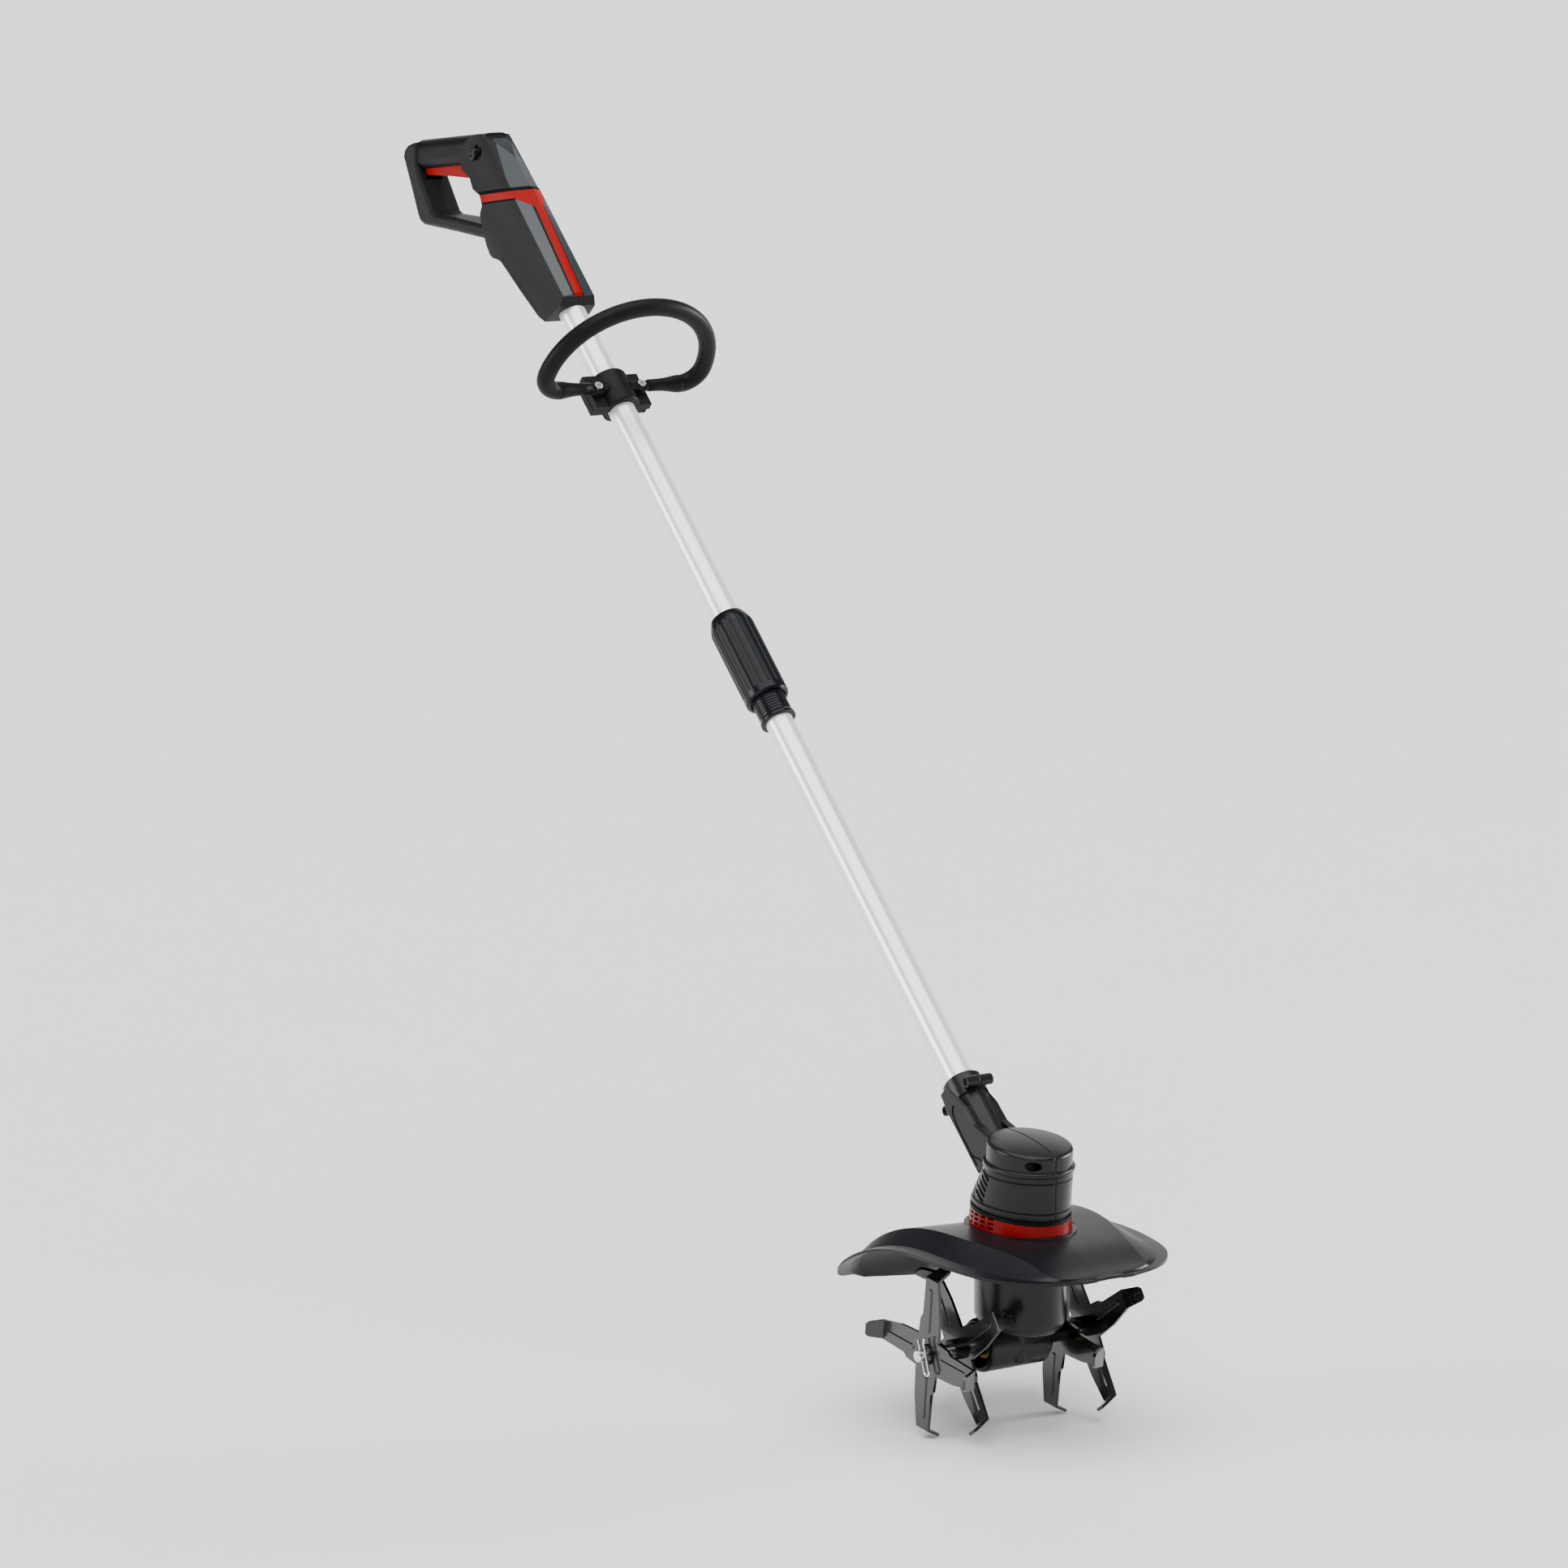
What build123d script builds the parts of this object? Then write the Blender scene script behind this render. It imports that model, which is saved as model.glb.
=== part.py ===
import os
from math import asin, cos, degrees, pi, radians, sin, tan

from build123d import *

# Cordless tiller, millimetres. Origin at the middle of the tine axle, the axle along X,
# the front towards -Y, the pole rising to the user at +Y, +Z up.

os.makedirs("parts", exist_ok=True)

# Pole: two tubes of one diameter joined by a screwed union
tube_d = 28.0
tube_wall = 1.5
pole_angle = 46.0
pole_foot = 165.6
socket_rim = 341.0
socket_depth = 56.0
neck_start = 781.0
nut_start = 808.0
nut_length = 105.0
nut_d = 45.6
neck_d = 34.6
nut_flutes = 18
loop_station = 1213.0
handle_base = 1326.0
tube_in_handle = 32.0
cable_d = 6.0

# Rear handle: moulded body in two halves, measured from the mouth of the upper tube
handle_rake = 44.0
body_wall = 2.8
trim_depth = 1.6
body_front = 21.5
keel_low = 1.8
keel_high = 18.0
ring_along = 145.0
ring_tilt = 37.8
ring_height = 10.0
stripe_width = 10.0
grip_width = 34.0
grip_height = 32.0
grip_cover = 3.0
frame_width = 39.0
trigger_width = 17.0
trigger_play = 1.0
lock_button_d = 13.5
battery_width = 46.0

# Loop handle on the upper tube
loop_bar_d = 18.6
loop_half = 94.0
loop_rise = 108.0
loop_lean = 7.0
stub_thick = 8.5
stub_wide = 10.5
clamp_length = 42.0
clamp_wall = 6.5
clamp_pitch = 52.0

# Motor head
head_y = -19.0
head_long = 55.0
head_wide = 43.0
head_wall = 2.2
head_low = 137.4
head_tilt = 4.5
crown_long = 43.0
crown_wide = 41.5
crown_shift = -10.0
ledge_height = 39.0
ledge_thick = 5.5
crown_height = 59.0
crown_peak = 67.1
dome_r = 200.0
dome_back = 14.0
boss_d = 11.0
motor_d = 46.0

# Guard
guard_top = 117.0
guard_skin = 3.0
guard_half = 115.0
brim = 13.0

# Gear case, axle and tines
case_r = 26.0
case_half = 36.0
case_wall = 4.0
tower_long = 50.0
tower_wide = 39.6
axle_d = 12.0
axle_half = 105.0
wheel_teeth = 28
worm_lead = 3.45
worm_r = 3.6
tooth_depth = 1.1
star_outer = 92.0
star_inner = 57.0
star_reach = 73.6
star_plate = 3.0
star_turn_a = 5.4
star_turn_b = -34.0
tip_length = 18.2
tip_bend = 62.0

# Clearance between pieces that move on each other
gap = 0.4

side = Vector(1, 0, 0)
up_pole = Vector(0, sin(radians(pole_angle)), cos(radians(pole_angle)))
off_pole = Vector(0, -cos(radians(pole_angle)), sin(radians(pole_angle)))
level_angle = radians(pole_angle + handle_rake)
level = Vector(0, sin(level_angle), cos(level_angle))
upright = Vector(0, -cos(level_angle), sin(level_angle))
tube_r = tube_d / 2
bore_r = tube_r - tube_wall


def pole_point(along, front=0.0, x=0.0):
    return Vector(x, -pole_foot, 0) + up_pole * along + off_pole * front


def across_pole(along, front=0.0):
    return Plane(origin=pole_point(along, front), x_dir=side, z_dir=up_pole)


def grip_point(back, high, x=0.0):
    return pole_point(handle_base, 0, x) + level * back + upright * high


# Side view planes of the handle: along the pole, and level with the grip
beside = Plane(origin=pole_point(handle_base), x_dir=off_pole, z_dir=-side)
grip_side = Plane(origin=pole_point(handle_base), x_dir=level, z_dir=side)


def rod(start, end, radius):
    with BuildPart() as piece:
        with BuildSketch(Plane(origin=start, z_dir=end - start)):
            Circle(radius)
        extrude(amount=(end - start).length)
    return piece.part


def sleeve(start, end, outer, inner):
    with BuildPart() as piece:
        with BuildSketch(Plane(origin=start, z_dir=end - start)):
            Circle(outer)
            Circle(inner, mode=Mode.SUBTRACT)
        extrude(amount=(end - start).length)
    return piece.part


def prism(plane, points, half):
    with BuildPart() as piece:
        with BuildSketch(plane):
            with BuildLine():
                Polyline(*points, close=True)
            make_face()
        extrude(amount=half, both=True)
    return piece.part


def save(piece, name):
    piece.label = name
    export_step(piece, "parts/" + name + ".step")


# Rear handle. The body is a loft of two sections square to the pole, trimmed by its side view.
def body_section(along, half_front, half_side, half_rear, keel, inset):
    front = body_front + keel / 10 - inset
    ridge = front + keel
    a = half_front - inset
    b = half_side - inset
    c = half_rear - inset
    with BuildSketch(across_pole(handle_base + along)) as section:
        with BuildLine():
            Polyline((-a, -front), (0, -ridge), (a, -front))
            ThreePointArc((a, -front), (b, 12), (c, 56))
            Line((c, 56), (-c, 56))
            ThreePointArc((-c, 56), (-b, 12), (-a, -front))
        make_face()
    return section.sketch


def lower_body(inset):
    with BuildPart() as body:
        loft(
            sections=[
                body_section(-10, 19.5, 23.5, 18.0, keel_low, inset),
                body_section(200, 18.0, 31.5, 30.5, keel_high, inset),
            ]
        )
        with BuildSketch(beside):
            with BuildLine():
                Polyline(
                    (13.5, 0), (20.5, 4.5), (25, 9), (48, 20), (48, 200), (-8, 200), (-13, 178), (-16, 171),
                    (-25, 167), (-30, 158), (-41.5, 138), (-44.5, 127), (-43, 121), (-37.5, 114.5),
                    (-33, 107), (-28, 59), (-22.5, 19), (-17, 6.5), close=True,
                )
            make_face()
            if inset:
                offset(amount=-inset)
        extrude(amount=60, both=True, mode=Mode.INTERSECT)
    return body.part


def upper_head(inset):
    with BuildPart() as body:
        loft(
            sections=[
                body_section(120, 18.3, 29.0, 27.0, 12.0, inset),
                body_section(300, 14.5, 27.0, 21.0, 10.0, inset),
            ]
        )
        with BuildSketch(grip_side):
            with BuildLine():
                Line((57, 114), (106, 152))
                ThreePointArc((106, 152), (134, 169.5), (158, 181))
                ThreePointArc((158, 181), (183, 165), (180, 143))
                Polyline((180, 143), (164, 135.5), (157, 124), (141, 117), (137, 100), (57, 114))
            make_face()
            if inset:
                offset(amount=-inset)
        extrude(amount=60, both=True, mode=Mode.INTERSECT)
    return body.part


ring_normal = off_pole * sin(radians(ring_tilt)) + up_pole * cos(radians(ring_tilt))
ring_low = Plane(origin=pole_point(handle_base + ring_along, 23), x_dir=side, z_dir=ring_normal)
ring_top = ring_low.offset(ring_height)

# Solid forms that the halves, the trim and the cavity are cut from
with BuildPart() as body_form:
    add(lower_body(0))
    split(bisect_by=ring_low, keep=Keep.BOTTOM)

with BuildPart() as head_form:
    add(upper_head(0))
    split(bisect_by=ring_top, keep=Keep.TOP)

# Grip axis: from the head to the rear bar, falling slightly to the rear
grip_from = (158.0, 166.8)
grip_to = (298.0, 154.2)
grip_start = grip_point(*grip_from)
grip_end = grip_point(*grip_to)
grip_plane = Plane(origin=grip_start, x_dir=side, z_dir=grip_end - grip_start)
grip_length = (grip_end - grip_start).length

with BuildPart() as grip_core:
    with BuildSketch(grip_plane.offset(4)):
        RectangleRounded(grip_width - 2 * grip_cover, grip_height - 2 * grip_cover, 8)
    extrude(amount=grip_length + 4)

# Rear bar and lower bar of the D-shaped frame
with BuildPart() as rear_frame:
    with BuildSketch(grip_side):
        with BuildLine():
            Polyline(
                (295.5, 168), (305, 167), (316, 164), (323, 159), (325.5, 151), (309, 119), (294.5, 89),
                (290, 83), (282, 79.5), (212, 75.5), (150, 71), (128, 60), (112, 92), (150, 86), (218, 91),
                (256, 92), (265, 96), (290.5, 131), (296, 143), close=True,
            )
        make_face()
    extrude(amount=frame_width / 2, both=True)
    fillet(rear_frame.faces().filter_by(Axis.X).edges(), 5)

with BuildPart() as frame_cavity:
    with BuildSketch(grip_side):
        with BuildLine():
            Polyline(
                (299, 164.5), (305, 163.5), (314.5, 160.5), (320, 156.5), (321.5, 152), (305.5, 120.5),
                (291.5, 91.5), (288, 87), (281, 83), (212, 79), (150, 75), (132, 70), (124, 84), (150, 82),
                (218, 87.5), (258, 88.5), (268, 94), (294, 130), (299.5, 142), close=True,
            )
        make_face()
    extrude(amount=frame_width / 2 - 3, both=True)

# Trigger: a long paddle under the grip, hinged on a pin in the head
pivot = (178.0, 151.0)
trigger_pin_r = 2.0
with BuildPart() as trigger:
    with BuildSketch(grip_side):
        with BuildLine():
            Polyline(
                (174, 147), (181, 157), (193, 154), (290, 146.5), (294.5, 143), (294, 136), (290, 132.5),
                (245, 133.5), (190, 133), (181, 137), close=True,
            )
        make_face()
        with Locations(pivot):
            Circle(5.5)
    extrude(amount=trigger_width / 2, both=True)
    fillet(trigger.edges().filter_by(Axis.X).sort_by(Axis(pole_point(handle_base), upright))[:5], 2)
    with BuildSketch(grip_side):
        with Locations(pivot):
            Circle(trigger_pin_r + 0.06)
    extrude(amount=30, both=True, mode=Mode.SUBTRACT)
    with BuildSketch(grip_side):
        with BuildLine():
            Polyline((208, 160), (208, 139), (240, 138.5), (287, 137.5), (287, 160), close=True)
        make_face()
    extrude(amount=trigger_width / 2 - 2.2, both=True, mode=Mode.SUBTRACT)
    with BuildSketch(grip_side):
        with Locations((218, 145)):
            Rectangle(5, 12.5)
    extrude(amount=trigger_width / 2 - 2.0, both=True)

# Room for the trigger, its travel and its hub
with BuildPart() as trigger_room:
    with BuildSketch(grip_side):
        with BuildLine():
            Polyline(
                (171, 128), (171, 160), (206, 161), (297.5, 158), (297.5, 128), close=True,
            )
        make_face()
    extrude(amount=trigger_width / 2 + trigger_play, both=True)

latch_half = 9.0

# Battery: a pack that plugs into the rear of the body, square to the pole
with BuildPart() as battery_form:
    add(lower_body(0))
    with BuildSketch(beside):
        with BuildLine():
            Polyline((-27.5, 107), (-60, 110), (-60, 20), (-17.5, 23.5), (-22, 60), close=True)
        make_face()
    extrude(amount=60, both=True, mode=Mode.INTERSECT)

with BuildPart() as battery:
    add(battery_form.part)
    with BuildSketch(beside):
        with BuildLine():
            Polyline((-9, 102), (-29, 103.5), (-24, 34), (-9, 36), close=True)
        make_face()
    extrude(amount=battery_width / 2, both=True)
    # Slots for the contact blades
    with BuildSketch(beside):
        with Locations((-13, 66)):
            Rectangle(10, 14)
    extrude(amount=1.2, both=True, mode=Mode.SUBTRACT)
    for x in (-10, 10):
        with BuildSketch(Plane(origin=beside.origin + side * x, x_dir=off_pole, z_dir=-side)):
            with Locations((-13, 66)):
                Rectangle(10, 14)
        extrude(amount=1.2, both=True, mode=Mode.SUBTRACT)
    # Finger grooves on both flanks of the cap
    for x in (-1, 1):
        for along in (52, 60, 68):
            groove = rod(
                pole_point(handle_base + along, -60, x * 29.6),
                pole_point(handle_base + along, -18, x * 27.6),
                1.6,
            )
            add(groove, mode=Mode.SUBTRACT)

    # Room for the latch key and its tongue
    add(
        prism(beside, [(-25, 88.6), (-60, 88.6), (-60, 102.5), (-25, 102.5)], latch_half + gap),
        mode=Mode.SUBTRACT,
    )
    add(
        prism(beside, [(-28.5, 100), (-60, 100), (-60, 112), (-28.5, 112)], latch_half - 3 + gap),
        mode=Mode.SUBTRACT,
    )

# Latch key: pushed down the pole to free the battery
with BuildPart() as battery_latch:
    with BuildSketch(beside):
        with BuildLine():
            Polyline((-25.4, 92.5), (-31.4, 92.5), (-32.4, 102.1), (-25.4, 102.1), close=True)
        make_face()
    extrude(amount=latch_half, both=True)
    with BuildSketch(beside):
        with BuildLine():
            Polyline((-28.9, 101), (-31.8, 101), (-31.8, 110.2), (-28.9, 110.2), close=True)
        make_face()
    extrude(amount=latch_half - 3, both=True)
    # Thumb ribs on the face of the key
    for along in (94.5, 97.3, 100.1):
        add(
            rod(
                pole_point(handle_base + along, -31.6, -latch_half + 2),
                pole_point(handle_base + along, -31.6, latch_half - 2),
                0.9,
            ),
        )


# Posts left standing in the cavity for the shell screws: side view points, along the pole and at the grip
screw_points = [
    pole_point(handle_base + 118, 12),
    pole_point(handle_base + 126, -34),
    pole_point(handle_base + 40, 15),
    grip_point(148, 150),
    grip_point(309, 156),
    grip_point(283, 92),
]
screw_shank_r = 1.5
screw_head_r = 3.0
screw_seat = 12.0

with BuildPart() as handle_cavity:
    add(lower_body(body_wall))
    split(bisect_by=ring_low.offset(-2.5), keep=Keep.BOTTOM)
    with BuildSketch(beside):
        with Locations((0, 0)):
            Rectangle(120, 72)
    extrude(amount=60, both=True, mode=Mode.SUBTRACT)
    # Solid surround of the battery bay
    add(
        prism(beside, [(-6.5, 106), (-60, 112), (-60, 20), (-6.5, 28)], 60),
        mode=Mode.SUBTRACT,
    )

with BuildPart() as neck_cavity:
    add(lower_body(body_wall + 3))
    split(bisect_by=ring_low.offset(-6), keep=Keep.TOP)
    split(bisect_by=ring_top.offset(6), keep=Keep.BOTTOM)

with BuildPart() as head_cavity:
    add(upper_head(body_wall))
    split(bisect_by=ring_top.offset(2.5), keep=Keep.TOP)

with BuildPart() as core_cavity:
    with BuildSketch(grip_plane):
        RectangleRounded(grip_width - 2 * grip_cover - 5.2, grip_height - 2 * grip_cover - 5.2, 5.4)
    extrude(amount=grip_length + 8)

# Rails in both halves that hold the edges of the controller board
board = [(6.2, 48), (7.8, 48), (7.8, 108), (6.2, 108)]
board_half = 15.0
with BuildPart() as rails:
    for along in (60, 96):
        rail = [(3, along - 4), (11, along - 4), (11, along + 4), (3, along + 4)]
        add(prism(beside, rail, 60))
        add(prism(beside, rail, board_half - 1.6), mode=Mode.SUBTRACT)

with BuildPart() as inside:
    add(handle_cavity.part)
    add(rails.part, mode=Mode.SUBTRACT)
    add(neck_cavity.part)
    add(head_cavity.part)
    add(core_cavity.part)
    add(frame_cavity.part)
    for point in screw_points:
        add(rod(point - side * 60, point + side * 60, 4.2), mode=Mode.SUBTRACT)
    for x in (-1, 1):
        start = grip_point(*pivot, x * (trigger_width / 2 + trigger_play))
        add(rod(start, start + side * x * 40, 4.5), mode=Mode.SUBTRACT)

# Red band round the neck, let in flush between head and body
with BuildPart() as ring_band:
    add(lower_body(0))
    split(bisect_by=ring_low, keep=Keep.TOP)
    split(bisect_by=ring_top, keep=Keep.BOTTOM)
    add(lower_body(3), mode=Mode.SUBTRACT)

with BuildPart() as neck_form:
    add(lower_body(3))
    split(bisect_by=ring_low, keep=Keep.TOP)
    split(bisect_by=ring_top, keep=Keep.BOTTOM)

# Red stripe down the front ridge, forking into a Y under the band
face_on = Plane(origin=pole_point(handle_base), x_dir=side, z_dir=off_pole)
with BuildPart() as stripe:
    add(body_form.part)
    with BuildSketch(face_on):
        with BuildLine():
            w = stripe_width / 2
            Polyline(
                (-w, 6), (w, 6), (w, 124), (17.5, 143), (17.5, 190), (-17.5, 190), (-17.5, 143), (-w, 124),
                close=True,
            )
        make_face()
    extrude(amount=60, mode=Mode.INTERSECT)
    add(lower_body(trim_depth), mode=Mode.SUBTRACT)

screw_tool = []
for point in screw_points:
    shank = rod(point - side * 10, point + side * screw_seat, screw_shank_r)
    head = rod(point + side * (screw_seat - 2.2), point + side * screw_seat, screw_head_r)
    screw_tool.append(
        (shank, head, rod(point + side * (screw_seat - 2.2), point + side * 60, screw_head_r))
    )

lock_at = (159.5, 161.0)
lock_face = 28.6
with BuildPart() as handle_form:
    add(body_form.part)
    add(head_form.part)
    add(neck_form.part)
    add(rear_frame.part)
    add(grip_core.part)
    add(inside.part, mode=Mode.SUBTRACT)
    add(stripe.part, mode=Mode.SUBTRACT)
    add(ring_band.part, mode=Mode.SUBTRACT)
    add(trigger_room.part, mode=Mode.SUBTRACT)
    # Socket of the upper tube and the way in for the cable
    add(
        rod(pole_point(handle_base - 6), pole_point(handle_base + tube_in_handle), tube_r),
        mode=Mode.SUBTRACT,
    )
    add(rod(pole_point(handle_base), pole_point(handle_base + 44), cable_d / 2 + 1.5), mode=Mode.SUBTRACT)
    # Battery bay with its window for the contacts
    add(
        prism(
            beside,
            [
                (-27.5 + gap, 107 + gap), (-60, 110 + gap), (-60, 20 - gap),
                (-17.5 + gap, 23.5 - gap), (-22 + gap, 60),
            ],
            60,
        ),
        mode=Mode.SUBTRACT,
    )
    add(
        prism(beside, [(-8.5, 102.6), (-60, 106), (-60, 30), (-8.5, 35.2)], battery_width / 2 + gap),
        mode=Mode.SUBTRACT,
    )
    add(prism(beside, [(-5, 76), (-10, 76), (-10, 56), (-5, 56)], 14), mode=Mode.SUBTRACT)
    # Notch that the latch tongue stands in
    add(
        prism(beside, [(-28.5, 106), (-60, 106), (-60, 111), (-28.5, 111)], latch_half - 3 + gap),
        mode=Mode.SUBTRACT,
    )
    add(prism(beside, board, board_half), mode=Mode.SUBTRACT)
    # Trigger pin and screws
    add(rod(grip_point(*pivot, -19), grip_point(*pivot, 19), trigger_pin_r), mode=Mode.SUBTRACT)
    for shank, head, recess in screw_tool:
        add(shank, mode=Mode.SUBTRACT)
        add(recess, mode=Mode.SUBTRACT)

# Two halves that meet on the middle plane; the right one carries the lock-off button
with BuildPart() as handle_shell_left:
    add(handle_form.part)
    split(bisect_by=Plane.YZ, keep=Keep.TOP)

with BuildPart() as handle_shell_right:
    add(handle_form.part)
    split(bisect_by=Plane.YZ, keep=Keep.BOTTOM)
    add(
        rod(grip_point(*lock_at, -40), grip_point(*lock_at, -8), lock_button_d / 2 + gap),
        mode=Mode.SUBTRACT,
    )
    add(
        rod(grip_point(*lock_at, -22.5), grip_point(*lock_at, -8), lock_button_d / 2 + 2 + gap),
        mode=Mode.SUBTRACT,
    )

with BuildPart() as lock_button:
    add(rod(grip_point(*lock_at, -lock_face), grip_point(*lock_at, -12), lock_button_d / 2))
    fillet(lock_button.edges().sort_by(Axis.X)[0], 1.5)
    add(rod(grip_point(*lock_at, -20.5), grip_point(*lock_at, -18), lock_button_d / 2 + 2))
    with BuildSketch(Plane(origin=grip_point(*lock_at, -lock_face), x_dir=level, z_dir=-side)):
        Circle(3.6)
        with Locations((5, 0)):
            Rectangle(6, 2.6)
    extrude(amount=-1.0, mode=Mode.SUBTRACT)

with BuildPart() as shell_screws:
    for shank, head, recess in screw_tool:
        add(shank)
        add(head)

with BuildPart() as grip_sleeve:
    with BuildSketch(grip_plane.offset(-4)):
        RectangleRounded(grip_width, grip_height, 11)
    extrude(amount=grip_length + 4)
    add(grip_core.part, mode=Mode.SUBTRACT)
    add(head_form.part, mode=Mode.SUBTRACT)
    add(rear_frame.part, mode=Mode.SUBTRACT)
    add(trigger_room.part, mode=Mode.SUBTRACT)

trigger_pin = rod(grip_point(*pivot, -19), grip_point(*pivot, 19), trigger_pin_r)

# Snap switch over the trigger, its switch_plunger, the controller and the contact block of the battery
switch_at = 218.0
with BuildPart() as switch:
    with BuildSketch(grip_side):
        with Locations((switch_at, 165.3)):
            Rectangle(26, 9.6)
    extrude(amount=6, both=True)
    add(rod(grip_point(switch_at, 160), grip_point(switch_at, 168), 2.0 + gap), mode=Mode.SUBTRACT)

with BuildPart() as switch_plunger:
    add(rod(grip_point(switch_at, 151.7), grip_point(switch_at, 164.5), 2.0))
    fillet(switch_plunger.edges().sort_by(Axis.Z)[0], 0.8)

with BuildPart() as controller:
    add(prism(beside, board, board_half))
    for along, x in ((62, -8), (62, 8), (84, -7), (96, 7)):
        with BuildSketch(Plane(origin=pole_point(handle_base + along, 7.8, x), x_dir=side, z_dir=off_pole)):
            Rectangle(9, 12)
        extrude(amount=5)

with BuildPart() as contact_block:
    with BuildSketch(beside):
        with Locations((-5.25, 66)):
            Rectangle(6.5, 19)
    extrude(amount=13.8, both=True)
    for x in (-10, 0, 10):
        with BuildSketch(Plane(origin=pole_point(handle_base, 0, x), x_dir=off_pole, z_dir=-side)):
            with Locations((-12, 66)):
                Rectangle(9, 10)
        extrude(amount=0.5, both=True)


# Pole: lower tube, threaded neck, upper tube with its spigot, and the union nut that draws them together
pole_axis = Axis(pole_point(0), up_pole)
pole_half = Plane(origin=pole_point(0), x_dir=side, z_dir=off_pole)
neck_r = neck_d / 2
tube_joint = nut_start + 36
neck_top = nut_start + 60
spigot_top = nut_start + 76
nut_top = nut_start + nut_length
nut_travel = 12.0


def turned(points):
    with BuildPart() as piece:
        with BuildSketch(pole_half):
            with BuildLine():
                Polyline(*points, close=True)
            make_face()
        revolve(axis=pole_axis)
    return piece.part


lower_tube = sleeve(pole_point(socket_rim - socket_depth), pole_point(tube_joint - 2), tube_r, bore_r)
upper_tube = sleeve(pole_point(tube_joint + 2), pole_point(handle_base + tube_in_handle), tube_r, bore_r)

with BuildPart() as coupling_neck:
    add(
        turned([
            (tube_r, neck_start), (neck_r + 1.2, neck_start), (neck_r + 1.2, neck_start + 3),
            (neck_r, neck_start + 5.5),
            (neck_r, neck_top), (tube_r + 1.2, neck_top), (tube_r + 1.2, tube_joint - 2),
            (tube_r, tube_joint - 2),
        ])
    )
    fillet(coupling_neck.edges().filter_by(GeomType.CIRCLE).filter_by(lambda e: e.radius > neck_r + 1), 0.8)
    for turn in range(7):
        z = neck_start + 8.5 + 3 * turn
        add(
            turned([(neck_r - 0.7, z), (neck_r + 0.5, z - 0.9), (neck_r + 0.5, z + 0.9)]),
            mode=Mode.SUBTRACT,
        )

coupling_spigot = turned([
    (tube_r, tube_joint + 2), (tube_r + 1.2, tube_joint + 2), (tube_r + 1.2, neck_top),
    (neck_r + 1.4, neck_top),
    (neck_r + 1.4, neck_top + 6), (neck_r - 1, neck_top + 6), (neck_r - 1, spigot_top),
    (tube_r, spigot_top),
])

thrust_ring = turned([
    (tube_r + gap, spigot_top + gap), (neck_r + 1.6, spigot_top + gap),
    (neck_r + 1.6, spigot_top + 2.4), (tube_r + gap, spigot_top + 2.4),
])

with BuildPart() as union_nut:
    with BuildSketch(pole_half):
        with BuildLine():
            r = nut_d / 2
            bore = neck_r + gap
            Polyline(
                (tube_r + gap, nut_top), (tube_r + gap, spigot_top + 2.8), (neck_r + 2.2, spigot_top + 2.8),
                (neck_r + 2.2, nut_start + 44), (bore, nut_start + 41), (bore, nut_start + 6),
                (r - 4, nut_start + 3),
                (r - 4, nut_start), (r - 1.5, nut_start), (r, nut_start + 2), (r, nut_top - 14),
            )
            ThreePointArc((r, nut_top - 14), (r - 2.6, nut_top - 5), (tube_r + 4, nut_top))
            Line((tube_r + 4, nut_top), (tube_r + gap, nut_top))
        make_face()
    revolve(axis=pole_axis)
    with BuildSketch(across_pole(nut_start + 9)):
        with PolarLocations(nut_d / 2 + 1.0, nut_flutes):
            Circle(2.2)
    extrude(amount=nut_length - 14, mode=Mode.SUBTRACT)

# Plug and socket inside the union, and the cable in each tube
pin_x = 5.0
with BuildPart() as lower_connector:
    add(rod(pole_point(tube_joint - 30), pole_point(tube_joint - 2), bore_r))
    for x in (-pin_x, pin_x):
        add(rod(pole_point(tube_joint - 20, 0, x), pole_point(tube_joint, 0, x), 2.0), mode=Mode.SUBTRACT)

with BuildPart() as upper_connector:
    add(rod(pole_point(tube_joint + 2), pole_point(tube_joint + 30), bore_r))
    for x in (-pin_x, pin_x):
        add(rod(pole_point(tube_joint - 18, 0, x), pole_point(tube_joint + 3, 0, x), 1.8))

lower_cable = rod(pole_point(socket_rim - socket_depth - 24), pole_point(tube_joint - 30), cable_d / 2)
upper_cable = rod(pole_point(tube_joint + 30), pole_point(handle_base + 50), cable_d / 2)

# Loop handle: a moulded saddle with two stub bars, a round soft grip between their ends, a clamp half below
loop_dir = off_pole * cos(radians(loop_lean)) + up_pole * sin(radians(loop_lean))
bar_front = tube_r - 0.5
stub_end = 72.0
corner_r = loop_half - stub_end
loop_plane = Plane(origin=pole_point(loop_station, bar_front), x_dir=side, z_dir=side.cross(loop_dir))
saddle_r = tube_r + gap + clamp_wall
ear = clamp_pitch / 2
screw_seat = bar_front + 1.5

with BuildPart() as loop_grip:
    with BuildLine(loop_plane) as loop_path:
        CenterArc((stub_end, corner_r), corner_r, -90, 90)
        EllipticalCenterArc((0, corner_r), loop_half, loop_rise - corner_r, start_angle=0, arc_size=180)
        CenterArc((-stub_end, corner_r), corner_r, 180, 90)
    with BuildSketch(
        Plane(origin=loop_plane.from_local_coords(Vector(stub_end, 0, 0)), x_dir=loop_dir, z_dir=side)
    ):
        Circle(loop_bar_d / 2)
    sweep(path=loop_path.wire())

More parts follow.
